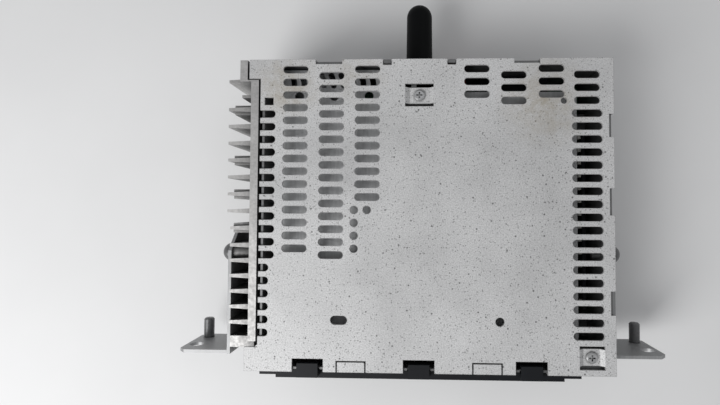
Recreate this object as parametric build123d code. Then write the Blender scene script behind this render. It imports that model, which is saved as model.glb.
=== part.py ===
from build123d import *
import math
import os

# A one-DIN car CD player, seen in the photograph as a bare unit without its trim plate.
# Millimetres. X runs along the width, Y to the rear, Z up. The origin is the centre of the bottom face.

# Case
BODY_W = 178.0          # width over the side faces
BODY_D = 145.0          # depth over the cover's front and rear lips
BODY_H = 50.0           # height of a one-DIN unit
SHEET = 1.0             # thickness of the steel sheets
LIP_DROP = 6.0          # how far the cover's front and rear lips reach down
FLANGE_FOOT = 2.0       # height of the lower edge of the cover's right flange
SINK_ROOM = 14.4        # from the left side to the cover's left edge, the room for the heat sink
REAR_TAB_W = 5.4        # rear left extension of the cover
REAR_TAB_D = 9.0
FRONT_TAB_W = 6.2       # front left extension of the cover
FRONT_TAB_D = 11.0
WALL_GAP = 0.8          # from the cover's left edge to the frame's left wall
BOTTOM_LIP = 7.0        # height of the bottom cover's rear lip

# Vents in the cover
PITCH = 5.976           # from one vent row to the next
VENT_L = 11.7
VENT_W = 3.5
VENT_REAR = 4.8         # from the rear edge to the first row, the other columns lie half a pitch forward
VENT_FRONT = 17.6       # least room from the last side vent to the front edge
LEFT_VENTS_IN = (16.6, 33.6, 50.4)  # from the cover's left edge to the columns
LONG_COLUMN_ROWS = 15
SHORT_COLUMN_ROWS = 11
RIGHT_VENTS_IN = (62.4, 45.4, 28.2)    # from the right side to the columns
RIGHT_ROWS = 3
VENT_SHIFTS = (0, 0.5, 0)    # in rows, of the three columns on each side
SIDE_VENT_RIGHT = 12.1  # from the right side to the middle of the long column
SIDE_VENT_L = 13.9
EDGE_VENT_L = 7.2       # long vents open at the heat sink's gap
EDGE_SHORT_L = 4.7
EDGE_LONG_ROWS = 13
EDGE_START_ROW = 2.5    # rows behind the first of them
FIRST_VENT_IN = 2.0     # from the cover's left edge to the square vent
FIRST_VENT_W = 4.2      # the square vent at the rear of the heat sink's gap

# Small holes in the cover
DATUM_X = 36.9
DATUM_FRONT = 23.7      # from the front edge to the two datum holes
DATUM_R = 2.05
DATUM_SLOT = 7.8
ADJUST_R = 1.9          # round holes left of the centre
ADJUST_IN = 44.4        # from the cover's left edge to the row of round holes
ADJUST_ROW = 11         # the holes start beside this vent row
ADJUST_COUNT = 4
PEEP_IN = 22.6          # from the right side
PEEP_REAR = 19.9        # from the rear edge
PEEP_R = 1.45

# Screw pockets in the cover
REAR_SCREW_IN = 17.0    # from the rear edge to the rear screw
CORNER_SCREW_RIGHT = 10.7   # from the right side to the corner screw
CORNER_SCREW_FRONT = 8.0    # from the front edge to it
POCKET_L = 13.2
CORNER_POCKET_L = 11.4
POCKET_D = 7.6
POCKET_SLOT = 1.5       # slot in front of and behind each pocket
POCKET_DROP = 1.6
POCKET_RAMP = 2.0
COVER_SCREW_R = 1.5
COVER_HEAD_R = 2.5
COVER_HEAD_H = 1.4
COVER_RECESS_L = 2.8    # cross recess of a cover screw
COVER_RECESS_W = 0.7
COVER_RECESS_D = 0.8

# Windows, hooks and tongues along the cover's edges
REAR_WINDOWS = ((-42.4, 12.4), (49.8, 11.8))    # place and width
SIDE_WINDOWS = ((31.4, 10.6), (66.4, 12.2), (112.4, 10.8))    # from the rear edge, and width
WINDOW_DEPTH = 2.2
WINDOW_FOOT = 2.0       # from the lip's lower edge up to the windows
HOOK_X = 15.0
HOOK_W = 4.0
HOOK_DEPTH = 1.8
HOOK_GAP = 0.3
HOOK_OUT = 0.6          # how far the hooks lean out of the frame's rear wall
HOOK_ROOT = 4.0
HOOK_PROUD = 0.4        # above the cover
TONGUE_X = 31.2
TONGUE_W = 12.6
TONGUE_D = 3.6
TONGUE_SLIT = 0.6

# Heat sink
SINK_REAR_IN = 9.4      # from the rear edge to the end of the heat sink's wall
SINK_FRONT_IN = 13.5    # from the front edge
SINK_WALL = 3.6
SINK_GAP = 1.1          # from the cover's left edge to the heat sink
SINK_BELOW = 0.6        # from the cover's top down to the heat sink's top
SINK_FOOT = 1.0
FIN_ROOT = 2.6
FIN_TIP = 1.4
FIN_PITCH = 8.15
FIN_FIRST_IN = 12.9     # from the rear end of the wall to the first fin
FRONT_FIN_PITCH = 7.3
FRONT_FIN_COUNT = 5
FRONT_FIN_IN = 7.5      # from the front end of the wall to the first of the front fins
BOSS_FIN_INDEX = (0, 3, 5, 7)   # the fins that have a screw boss at their root, from the rear
FIN_BOSS_W = 4.6
FIN_BOSS_REACH = 10.2
SHORT_FIN_IN = 6.6
SHORT_FIN_L = 6.2
FIN_ABOVE = 2.0         # how far the fins rise above the bracket
FIN_OUT = 2.9           # how far the free fins reach beyond the case's side
REAR_LUG_IN = 4.4       # from the left side to the rear lug
REAR_LUG_D = 8.0        # from the case's rear wall to the rear lug's front
REAR_LUG_W = 3.5
FRONT_LUG_D = 4.8
SINK_SCREW_END = 4.3    # from the rear end of the wall to the rear screw
SINK_SCREW_STEP = 7.9   # from the bracket's screw to the front screw
SINK_SCREW_R = 1.7
SINK_SCREW_DEPTH = 1.0  # from the bottom of its hole to the wall's outer face

# Side brackets with their ears
BRACKET_T = 1.5
BRACKET_OUT = 1.4       # from the case's side to the bracket
BRACKET_PAD_R = 5.0     # round pads that bridge this on the right
BRACKET_BELOW = 8.0     # from the cover's top down to the bracket's top
BRACKET_FOOT = 8.0
BRACKET_L = 56.4        # from the ears' rear face to the bracket's rear end
EAR_IN = 6.8            # from the front edge to the ears' rear face
EAR_REACH = 27.5        # from the case's side to the ear's tip
EAR_BELOW = 1.2         # from the bracket's top to the ear's top
EAR_RAISE = 2.8         # from the bracket's foot to the ear's foot
EAR_CORNER = 3.0
BRACKET_CORNER = 8.5
EAR_HOLE_IN = 5.0       # from the ear's tip to the hole and the pin
EAR_HOLE_BELOW = 9.8    # from the ear's top to the hole
EAR_HOLE_R = 3.4
PIN_RAISE = 5.7         # from the ear's foot to the pin
PIN_R = 2.6
PIN_L = 10.0
PIN_NECK_R = 1.8
PIN_EDGE = 0.65
BRACKET_SCREW_END = 9.6     # from the bracket's rear end to its screws
BRACKET_SCREW_EDGE = 6.0    # from the bracket's top and foot to its screws
DOME_R = 4.5
DOME_H = 4.4
BRACKET_SCREW_R = 1.7
BRACKET_SCREW_L = 7.0
HOLE_END = 1.0          # from a screw's tip to the bottom of its blind hole
RECESS_L = 4.4          # cross recess of a dome screw
RECESS_W = 1.0
RECESS_D = 1.4
NUB_END = 43.8          # from the bracket's rear end to the nub
NUB_R = 1.6
NUB_H = 1.6

# Rear stud with its rubber boot
STUD_R = 3.0
STUD_L = 26.0
STUD_HEAD_EDGE = 1.6    # how far its head stands out around it inside the wall
STUD_HEAD_T = 2.0
STUD_PLATE_W = 13.4
STUD_PLATE_T = 1.4
STUD_PLATE_DROP = 11.0  # from the stud down to the plate's foot
BOOT_R = 6.7
BOOT_L = 34.0
BOOT_BASE_L = 3.0
BOOT_BASE_EXTRA = 0.4

# Latches of the front panel over the cover
LATCH_IN = 23.3         # from the panel's ends to the outer latches, the third is at the centre
LATCH_W = 9.7
LATCH_NOTCH_W = 14.4
LATCH_NOTCH_D = 6.0
LATCH_PROUD = 0.6       # above the cover
LATCH_T = 1.6
LATCH_REACH = 4.0       # how far a latch lies over the cover's edge
LATCH_HOOK_L = 4.0

# Front panel, eject button and connector
PANEL_SIDE_IN = 14.5    # from the case's sides to the panel
PANEL_FOOT = 3.0
PANEL_BELOW = 3.5       # from the cover's top to the panel's top
PANEL_T = 2.4           # outer step of the panel
FACE_SIDE_IN = 6.8      # from the panel's edge to its raised inner step
FACE_T = 2.4
FACE_MARGIN = 3.0       # from the panel's edge to the raised face, above and below
SLOT_W = 124.0
SLOT_H = 6.6
FELT_T = 0.8
FELT_LIP = 1.0          # how far each felt strip reaches into the slot's height
FELT_END = 1.0          # past each end of the slot
FELT_BACK = 1.6         # from the slot's edge to the back of a strip
BUTTON_IN = 22.5        # from the panel's right edge to the button's middle
BUTTON_Z = 14.0
BUTTON_W = 11.0
BUTTON_H = 5.0
BUTTON_TRAVEL = 1.2
BUTTON_PROUD = 1.6
BUTTON_FLANGE = 0.9     # how far its rear flange stands out all round
BUTTON_FLANGE_T = 0.8
CONNECTOR_IN = 44.5     # from the panel's left edge to the connector's middle
CONNECTOR_Z = 13.0
CONNECTOR_W = 30.0
CONNECTOR_H = 7.0
PORT_GAP = 0.4          # around the button and the connector in their openings
FRAME_GAP = 1.0         # around them and the slot in the frame's openings
SLOT_END_GAP = 2.0
LATCH_GAP = 0.5         # around a latch in the frame
LATCH_WINDOW_H = 2.0
LIP_GAP = 0.3           # under the cover's rear lip
FRONT_BOARD_GAP = 2.0   # from the frame's front wall to the board
FRONT_BOARD_LEFT = 10.8     # from the frame's left wall to the board
FRONT_BOARD_RIGHT = 25.0
FRONT_BOARD_H = 12.4
CONNECTOR_WALL = 1.0
PLUG_DEPTH = 3.0
CONTACT_PITCH = 2.0
CONTACT_T = 0.6
CONTACT_L = 1.6
BUTTON_EDGE = 0.6
SWITCH_W = 6.0
SWITCH_H = 4.8

# Main frame and rear sockets
LEDGE_W = 9.0
LEDGE_REACH = 2.8       # from a damper's middle to the end of its ledge
DAMPER_REAR_IN = 24.5   # from the case's rear edge to the rear dampers
DAMPER_FRONT_IN = 14.5
DAMPER_OUT = 3.1        # from the deck's side to its dampers
SCREW_TAB_W = 9.0       # tab for the rear cover screw, hidden under the pocket
SCREW_TAB_D = 7.0
SCREW_NECK_W = 2.4      # neck that joins the tab to the rear wall
SCREW_NECK_LEFT = 2.6   # from the screw to the neck's middle
CORNER_TAB_LEFT = 5.0   # from the corner screw to its tab's edges
CORNER_TAB_REAR = 4.0
HARNESS_IN = 39.0       # from the frame's right wall to the socket's middle
HARNESS_W = 34.0
HARNESS_H = 15.0
HARNESS_Z = 19.0
HARNESS_D = 13.5
ANTENNA_IN = 22.8       # from the frame's left wall to the antenna socket
ANTENNA_Z = 26.0        # also the top of the tuner can, less the socket's radius
ANTENNA_R = 6.0         # outside of the antenna socket
ANTENNA_BORE_R = 4.6
ANTENNA_L = 10.0
ANTENNA_DEPTH = 9.5
FUSE_LEFT = 28.0        # from the wiring socket to the fuse
FUSE_Z = 16.0
FUSE_W = 8.0
FUSE_H = 12.0
HARNESS_WALL = 1.5
HARNESS_BASE = 2.0
BLADE_COLS = 8
BLADE_STEP = 3.6
BLADE_ROW = 5.0
BLADE_W = 1.2
BLADE_L = 5.0
FUSE_IN = 6.0           # how far the fuse holder reaches inside the rear wall
FUSE_PROUD = 1.0
FUSE_FOOT_W = 6.0
FUSE_FOOT_D = 3.0

# Boards and their parts
BOARD_Z = 7.0
BOARD_T = 1.6
BOARD_GAP = 0.8         # from the board's edge to the frame
STANDOFF_R = 3.0
STANDOFF_IN = 8.0       # from the board's edges
CHIP_Y = 22.0
CHIP_W = 28.0
CHIP_T = 4.5
CHIP_H = 15.0
CLIP_T = 0.8
CLIP_W = 8.0
CHIP_FOOT = 3.0
PIN_COUNT = 12
CHIP_PIN_W = 0.8
CHIP_PIN_T = 0.6
CHIP_PIN_IN = 1.5       # from the chip's end to its first pin
CLIP_TAB = 9.0
CLIP_ARM = 8.0
CLIP_SCREW_UP = 5.0     # from the chip's top to the screw
CAP_R = 5.0
CAP_H = 13.0
CAP_XS = (-20.0, -8.0, 4.0)
CAP_REAR_IN = 19.7      # from the board's rear edge to the capacitors
CHOKE_X = 30.0
CHOKE_REAR_IN = 23.7
CHOKE_R = 7.0
CHOKE_H = 12.0
CHOKE_END_T = 2.0
CHOKE_STEP = 1.5        # from the end plates' edge in to the winding
TUNER_W = 32.0
TUNER_D = 28.0
SIDE_BOARD_IN = 7.5     # from the frame's right wall to the side board's left face
SIDE_BOARD_TOP = 34.0
SIDE_BOARD_FRONT_IN = 26.5
SIDE_BOARD_REAR_IN = 30.5
SIDE_PART_W = 1.6
SIDE_PART_D = 3.0
SIDE_PART_STEP = 6.0
SIDE_PART_H = 3.0
SIDE_PART_BELOW = 1.0   # from the side board's top

# Disc deck
DECK_LEFT_GAP = 6.3     # from the frame's left wall to the deck
DECK_RIGHT_GAP = 12.5
DECK_FRONT_IN = 10.5    # from the case's front edge to the deck
DECK_REAR_GAP = 0.5     # from the deck to the wiring socket
DECK_SHEET = 1.0
DECK_H = 18.5
DECK_SHARE = 8 / 21     # of the free height, the share that lies under the deck's motors
DAMPER_H = 6.0
DAMPER_R = 2.6
DAMPER_RIM = 1.0        # of the deck's sheet around a damper
DISC_T = 1.2
DISC_R = 60.0
DISC_GAP = 0.5          # from a clamped disc to the deck's rear edge
DISC_RAISE = 9.0        # from the base's underside to the middle of a disc
WINDOW_GAP = 2.0        # around the sled and the roller in the base's windows
DECK_SCREW_R = 1.0
DECK_HEAD_R = 2.0
DECK_HEAD_H = 1.2

# Deck cover
LID_HOLE_R = 2.2
LID_HOLE_IN = 1.7       # from the deck's rear edge to the cover's round holes
LID_TAIL = 11.0         # how far the cover's left part reaches behind the deck
LID_TAIL_RIGHT = 14.0   # from the middle to the tail's right end
ARC_WIDTH = 2.8         # curved openings in the tail
ARC_STEP = 4.8
ARC_R = 10.0
ARC_COUNT = 9
ARC_SWEEP = 30.0
ARC_FIRST_IN = 6.0      # from the cover's left edge to the first of them
ARC_REAR = 3.5          # from the deck's rear edge to where they start
CLAMP_LUG_GAP = 4.0     # from the clamp arm's side to its lug

# Disc drive
SPINDLE_R = 1.0
SPINDLE_MOTOR_R = 11.0
SPINDLE_MOTOR_H = 7.0
MOTOR_BOSS_R = 3.2
MOTOR_BOSS_H = 1.5
SHAFT_END = 1.5         # from a motor's closed end to its shaft
HUB_R = 4.0
FLANGE_R = 14.0
PLATTER_T = 1.8
CENTRE_R = 7.3
CENTRE_H = 1.6
CENTRE_EDGE = 0.5
HUB_GAP = 0.4

# Clamp over the disc
CLAMP_ARM_L = 48.0      # from the disc's middle to the arm's pivot
CLAMP_PIVOT_RAISE = 5.4 # from the disc to the pivot
CLAMP_RAISE = 5.6       # from the disc to the arm
CLAMP_PIN_IN = 16.0     # from the disc's middle to the follower pin
CLAMP_PIN_ROOT = 3.0    # half the width of the pin's tongue
CLAMP_BEAD = 0.8        # how much thicker the pivot is along the arm
CLAMP_T = 1.0
CLAMP_HALF = 16.0
CLAMP_SWING = 3.0       # degrees
PIVOT_R = 1.2
PUCK_R = 14.0
PUCK_T = 1.5
PUCK_LIFT = 3.0         # from a disc to the raised puck
PUCK_NECK_R = 4.0
PUCK_NECK_GAP = 0.3
PUCK_CAP_R = 6.0
PUCK_CAP_T = 0.8
PUCK_PLAY = 0.3
PUCK_SEAT = 1.2         # depth of the hollow over the turntable's centre
PUCK_SEAT_GAP = 0.9

# Roller drive
ROLLER_PIVOT_IN = 16.0  # from the deck's front edge to the arm's pivot
ROLLER_PIVOT_BELOW = 5.0    # from a disc's middle down to it
ROLLER_R = 3.4
ROLLER_ROD_R = 1.5
ROLLER_TUBE_R = 2.0
SHAFT_R = 1.2
ROLLER_DROP = 7.0       # degrees
ROLLER_PIN_REACH = 10.5
MODULE = 0.6
ROLLER_TEETH = 12
IDLER_TEETH = 26
GEAR_W = 3.0
ARM_T = 1.2
ARM_HALF = 1.8          # half the side plate's height at its ends
ARM_BULGE = 0.4         # how much higher it is at the pivot
ARM_EDGE = 0.8          # past the shaft and the follower pin
ARM_LEFT_IN = 7.9       # from the deck's sides to the arm's side plates
ARM_RIGHT_IN = 9.4
LUG_GAP = 0.6           # from a side plate to its lug
GEAR_GAP = 0.5
LUG_T = 1.2
LUG_EDGE = 3.0          # of a lug's sheet around a rod or a screw
PIVOT_LUG_HALF = 4.0    # half the width of the roller arm's lugs
LOADING_LUG_HALF = 7.0
SLED_LUG_HALF = 5.0
ROD_LUG_HALF = 2.5
WORM_R = 2.4
WORM_CORE_R = 1.5
WORM_L = 9.0
WORM_GAP = 0.3
WORM_SHAFT_R = 0.75
WORM_TURNS = 6
THREAD_ROOT = 0.2       # how far a thread goes into its core
SHAFT_DEPTH = 5.0       # how far a screw's shaft goes into its motor
LOADING_MOTOR_R = 6.0
LOADING_MOTOR_L = 20.0
LOADING_MOTOR_BACK = 10.0   # from the roller arm's pivot to the motor's face
LOADING_BOSS_R = 2.9

# Pickup sled
SLED_START = 24.0       # from the disc's middle to the lens at the start of its travel
SLED_END_IN = 10.5      # from the deck's left side to the lens at the end of its travel
SLED_L = 16.0
SLED_D = 30.0
SLED_BELOW = 5.0        # from the base's underside down to the sled's underside
SLED_H = 9.0
SLED_END_GAP = 0.8      # from the sled to its window's ends
SLED_START_GAP = 1.5
NUT_HALF = 3.0          # half the width of the sled's arm on the lead screw
NUT_WALL = 2.0
ROD_R = 1.25
ROD_SPREAD = 12.0       # from the lens to each rod
ROD_BELOW = 2.5         # from the base's underside down to the rods
LENS_R = 2.5
LENS_H = 1.5
SCREW_FRONT = 20.0      # from the disc's middle forward to the lead screw
SCREW_BELOW = 7.0       # from the base's underside down to it
SCREW_R = 1.5
SCREW_CORE_R = 1.1
SCREW_TURNS = 24
SLED_MOTOR_R = 6.0
SLED_MOTOR_L = 16.0
SLED_MOTOR_LEFT = 12.0  # from the disc's middle to the motor's face
SCREW_BOSS = 1.0        # how far the motor's boss stands out around the screw

# Cam slider
PIN_SIDE_GAP = 1.0      # from the clamp arm's tongue to the slider
PIN_END_GAP = 0.4       # from a follower pin's end to the slider's outer face
PIN_CLEAR = 0.25        # around a follower pin in its cam slot
SLIDER_T = 2.2
SLIDER_TRAVEL = 12.0
SLIDER_FRONT_L = 8.0    # how far it reaches past the roller arm's pivot
SLIDER_REAR_L = 10.0    # how far it reaches past the clamp's follower pin
FOLLOWER_R = 1.0

# Disc guide and ribbon
GUIDE_T = 1.6
GUIDE_GAP = 0.6
GUIDE_D = 9.0
GUIDE_IN = 8.5          # from the deck's sides to the guide
RIB_T = 2.0
GUIDE_RIBS = 3
RIBBON_W = 14.0
RIBBON_RIGHT = 4.0      # from the deck's middle to the ribbon's left edge
RIBBON_IN = 4.5         # from the deck's rear edge to the ribbon's end
RIBBON_FLAT = 3.0       # run of the ribbon flat under the base
RIBBON_PLUG = 4.0       # from that end to its plug on the board
RIBBON_PLUG_H = 2.0
RIBBON_T = 0.4
RIBBON_BENDS = ((1.0, 1.5), (1.6, 5.0), (0.4, 10.0))    # behind the plug, and below the base

# Fits
RUN_END = 0.5           # past the end of a shaft in a blind hole
ROOTED = 0.5            # how far a cast fin or boss goes into its wall
SLIDE_GAP = 0.15        # between flat faces that slide
RUN_GAP = 0.08          # around a shaft in its hole, on the radius
LOOSE_GAP = 0.4         # around a screw in its clearance hole

# Gear teeth, in shares of the module and of the tooth pitch
GEAR_ROOT = 1.1
GEAR_TIP = 0.85
ROOT_SHARE = 0.29
TIP_SHARE = 0.13

# Places that follow from the sizes above
SIDE_X = BODY_W / 2
COVER_LEFT = SIDE_X - SINK_ROOM
REAR_Y = BODY_D / 2
FRONT_Y = -BODY_D / 2
VENT_Y = REAR_Y - VENT_REAR
LEFT_VENTS = [inset - COVER_LEFT for inset in LEFT_VENTS_IN]
RIGHT_VENTS = [SIDE_X - inset for inset in RIGHT_VENTS_IN]
VENT_ROWS = int((BODY_D - VENT_REAR - VENT_FRONT) / PITCH + 0.5)
LEFT_ROWS = (LONG_COLUMN_ROWS, LONG_COLUMN_ROWS, SHORT_COLUMN_ROWS)
SIDE_VENT_X = SIDE_X - SIDE_VENT_RIGHT
SIDE_ROWS = VENT_ROWS - RIGHT_ROWS
EDGE_ROWS = VENT_ROWS - int(EDGE_START_ROW)
DATUM_Y = FRONT_Y + DATUM_FRONT
ADJUST_X = ADJUST_IN - COVER_LEFT
ADJUST_Y = VENT_Y - ADJUST_ROW * PITCH
PEEP_X = SIDE_X - PEEP_IN
PEEP_Y = REAR_Y - PEEP_REAR
REAR_SCREW_Y = REAR_Y - REAR_SCREW_IN
CORNER_SCREW_X = SIDE_X - CORNER_SCREW_RIGHT
CORNER_SCREW_Y = FRONT_Y + CORNER_SCREW_FRONT
SINK_REAR = REAR_Y - SINK_REAR_IN
SINK_FRONT = FRONT_Y + SINK_FRONT_IN
SINK_TOP = BODY_H - SINK_BELOW
FIN_FIRST = SINK_REAR - FIN_FIRST_IN
SHORT_FIN_Y = SINK_REAR - SHORT_FIN_IN
EAR_Y = FRONT_Y + EAR_IN
EAR_TIP = SIDE_X + EAR_REACH
EAR_HOLE_X = EAR_TIP - EAR_HOLE_IN
BRACKET_REAR = EAR_Y + BRACKET_L
BRACKET_TOP = BODY_H - BRACKET_BELOW
BRACKET_X = SIDE_X + BRACKET_OUT
EAR_TOP = BRACKET_TOP - EAR_BELOW
EAR_FOOT = BRACKET_FOOT + EAR_RAISE
EAR_HOLE_Z = EAR_TOP - EAR_HOLE_BELOW
PIN_Z = EAR_FOOT + PIN_RAISE
BRACKET_SCREW_Y = BRACKET_REAR - BRACKET_SCREW_END
BRACKET_SCREW_Z = (BRACKET_TOP - BRACKET_SCREW_EDGE, BRACKET_FOOT + BRACKET_SCREW_EDGE)
NUB_Y = BRACKET_REAR - NUB_END
NUB_Z = BRACKET_SCREW_Z[0]
SINK_SCREW_Y = (SINK_REAR - SINK_SCREW_END, BRACKET_SCREW_Y + SINK_SCREW_STEP)
STUD_Z = BODY_H / 2
STUD_PLATE_FOOT = STUD_Z - STUD_PLATE_DROP
COVER_UNDER = BODY_H - SHEET
WALL_REAR = REAR_Y - SHEET
WALL_FRONT = FRONT_Y + SHEET
WALL_RIGHT = SIDE_X - SHEET
WALL_LEFT = -COVER_LEFT + WALL_GAP
SINK_IN = -COVER_LEFT - SINK_GAP
SINK_FACE = SINK_IN - SINK_WALL
POCKET_Z = BODY_H - POCKET_DROP
FRONT_BOARD_Y = WALL_FRONT + SHEET + FRONT_BOARD_GAP
TAB_Z = POCKET_Z - SHEET
TAB_UNDER = TAB_Z - SHEET
BOARD_TOP = BOARD_Z + BOARD_T
HARNESS_X = WALL_RIGHT - SHEET - HARNESS_IN
ANTENNA_X = WALL_LEFT + SHEET + ANTENNA_IN
FUSE_X = HARNESS_X - FUSE_LEFT
DECK_LEFT = WALL_LEFT + SHEET + DECK_LEFT_GAP
DECK_RIGHT = WALL_RIGHT - SHEET - DECK_RIGHT_GAP
DECK_X = (DECK_LEFT + DECK_RIGHT) / 2
DECK_FRONT = FRONT_Y + DECK_FRONT_IN
DECK_REAR = REAR_Y - HARNESS_D - DECK_REAR_GAP

# Steps of the front panel from rear to front, and what it holds
PANEL_W = BODY_W - 2 * PANEL_SIDE_IN
PANEL_TOP = BODY_H - PANEL_BELOW
FACE_W = PANEL_W - 2 * FACE_SIDE_IN
PANEL_BACK = FRONT_Y
PANEL_Y = PANEL_BACK - PANEL_T
FACE_Y = PANEL_Y - FACE_T
LATCH_X = PANEL_W / 2 - LATCH_IN
LATCHES = (-LATCH_X, 0.0, LATCH_X)
BUTTON_X = PANEL_W / 2 - BUTTON_IN
CONNECTOR_X = CONNECTOR_IN - PANEL_W / 2

# Height of the disc deck, between the main board and the tabs of the cover screws
DECK_LOWEST = SCREW_BELOW + SLED_MOTOR_R
DECK_FREE = TAB_UNDER - BOARD_TOP - DECK_H - DECK_LOWEST
BASE_Z = BOARD_TOP + DECK_LOWEST + DECK_SHARE * DECK_FREE
DECK_TOP = BASE_Z + DECK_H
LEDGE_Z = BASE_Z - DAMPER_H

# Places in the disc deck
DAMPER_Y = (REAR_Y - DAMPER_REAR_IN, FRONT_Y + DAMPER_FRONT_IN)
DAMPER_LEFT_X = DECK_LEFT - DAMPER_OUT
DAMPER_RIGHT_X = DECK_RIGHT + DAMPER_OUT
DISC_Y = DECK_REAR - DISC_GAP - DISC_R
DISC_Z = BASE_Z + DISC_RAISE
CLAMP_PIVOT_Y = DISC_Y + CLAMP_ARM_L
CLAMP_PIVOT_Z = DISC_Z + CLAMP_PIVOT_RAISE
CLAMP_PIN_Y = DISC_Y + CLAMP_PIN_IN
CLAMP_Z = DISC_Z + CLAMP_RAISE
ARM_LEFT = DECK_LEFT + ARM_LEFT_IN
ARM_RIGHT = DECK_RIGHT - ARM_RIGHT_IN
ROLLER_PIVOT_Y = DECK_FRONT + ROLLER_PIVOT_IN
ROLLER_PIVOT_Z = DISC_Z - ROLLER_PIVOT_BELOW
LOADING_MOTOR_Y = ROLLER_PIVOT_Y + LOADING_MOTOR_BACK
SLED_X = DECK_X - SLED_START
SLED_END = DECK_LEFT + SLED_END_IN
SLED_Z = BASE_Z - SLED_BELOW
ROD_Z = BASE_Z - ROD_BELOW
SCREW_Y = DISC_Y - SCREW_FRONT
SCREW_Z = BASE_Z - SCREW_BELOW
SLED_MOTOR_X = DECK_X - SLED_MOTOR_LEFT


def box(x0, x1, y0, y1, z0, z1):
    """A box between two corners."""
    return Pos((x0 + x1) / 2, (y0 + y1) / 2, (z0 + z1) / 2) * Box(abs(x1 - x0), abs(y1 - y0), abs(z1 - z0))


def rod_x(r, x0, x1, y, z):
    """A round rod along X."""
    return Pos((x0 + x1) / 2, y, z) * Rot(0, 90, 0) * Cylinder(r, abs(x1 - x0))


def rod_y(r, x, y0, y1, z):
    """A round rod along Y."""
    return Pos(x, (y0 + y1) / 2, z) * Rot(90, 0, 0) * Cylinder(r, abs(y1 - y0))


def rod_z(r, x, y, z0, z1):
    """A round rod along Z."""
    return Pos(x, y, (z0 + z1) / 2) * Cylinder(r, abs(z1 - z0))


def port(x, z, width, height, y0, y1):
    """A box centred on a place in the front or rear wall."""
    return box(x - width / 2, x + width / 2, y0, y1, z - height / 2, z + height / 2)


def slot_x(length, width, x, y, z0, z1):
    """A round-ended vertical cut, long in X."""
    return Pos(x, y, z0) * extrude(SlotOverall(length, width), z1 - z0)


def plate_yz(points, x0, x1):
    """A plate cut to a polygon of (y, z) points, from x0 to x1."""
    wire = Polyline(*[(x0, y, z) for y, z in points], close=True)
    return extrude(make_face(wire), x1 - x0, dir=(1, 0, 0))


def plate_xz(points, y0, y1):
    """A plate cut to a polygon of (x, z) points, from y0 to y1."""
    wire = Polyline(*[(x, y0, z) for x, z in points], close=True)
    return extrude(make_face(wire), y1 - y0, dir=(0, 1, 0))


def plate_xy(points, z0, z1):
    """A plate cut to a polygon of (x, y) points, from z0 to z1."""
    wire = Polyline(*[(x, y, z0) for x, y in points], close=True)
    return extrude(make_face(wire), z1 - z0, dir=(0, 0, 1))


def strip_yz(points, thickness, x0, x1):
    """A thin strip that follows a line of (y, z) points."""
    left = []
    right = []
    for k in range(len(points)):
        ya, za = points[max(k - 1, 0)]
        yb, zb = points[min(k + 1, len(points) - 1)]
        run = math.hypot(yb - ya, zb - za)
        ny = -(zb - za) / run * thickness / 2
        nz = (yb - ya) / run * thickness / 2
        y, z = points[k]
        left.append((y + ny, z + nz))
        right.append((y - ny, z - nz))
    return plate_yz(left + right[::-1], x0, x1)


def gear(teeth, module, x0, x1, y, z, turn, bore):
    """A spur gear on an axis along X, with one tooth at the angle turn above +Y."""
    pitch_r = teeth * module / 2
    root = pitch_r - GEAR_ROOT * module
    tip = pitch_r + GEAR_TIP * module
    step = 2 * math.pi / teeth
    points = []
    for k in range(teeth):
        middle = math.radians(turn) + k * step
        for r, share in ((root, -ROOT_SHARE), (tip, -TIP_SHARE), (tip, TIP_SHARE), (root, ROOT_SHARE)):
            angle = middle + share * step
            points.append((y + r * math.cos(angle), z + r * math.sin(angle)))
    return plate_yz(points, x0, x1) - rod_x(bore, x0 - 1, x1 + 1, y, z)


def joined(pieces):
    """One solid out of pieces that overlap or touch."""
    pieces = list(pieces)
    body = pieces[0]
    for piece in pieces[1:]:
        body += piece
    return body


def cut(body, tools):
    """The body less every tool."""
    return body - list(tools)


def save(name, shape):
    """Writes one node, with each of its solids."""
    solids = shape.solids() if hasattr(shape, "solids") else [s for part in shape for s in part.solids()]
    export_step(Compound(children=list(solids)), f"parts/{name}.step")


os.makedirs("parts", exist_ok=True)

# Top cover
cover_outline = [
    (-COVER_LEFT, REAR_Y - REAR_TAB_D),
    (-COVER_LEFT - REAR_TAB_W, REAR_Y - REAR_TAB_D),
    (-COVER_LEFT - REAR_TAB_W, REAR_Y),
    (SIDE_X, REAR_Y),
    (SIDE_X, FRONT_Y),
    (-COVER_LEFT - FRONT_TAB_W, FRONT_Y),
    (-COVER_LEFT - FRONT_TAB_W, FRONT_Y + FRONT_TAB_D),
    (-COVER_LEFT, FRONT_Y + FRONT_TAB_D),
]
top_cover = joined([
    plate_xy(cover_outline, COVER_UNDER, BODY_H),
    box(WALL_RIGHT, SIDE_X, FRONT_Y, REAR_Y, FLANGE_FOOT, COVER_UNDER),
    box(-COVER_LEFT - REAR_TAB_W, WALL_RIGHT, WALL_REAR, REAR_Y, BODY_H - LIP_DROP, COVER_UNDER),
    box(-COVER_LEFT - FRONT_TAB_W, WALL_RIGHT, FRONT_Y, WALL_FRONT, BODY_H - LIP_DROP, COVER_UNDER),
])

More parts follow.
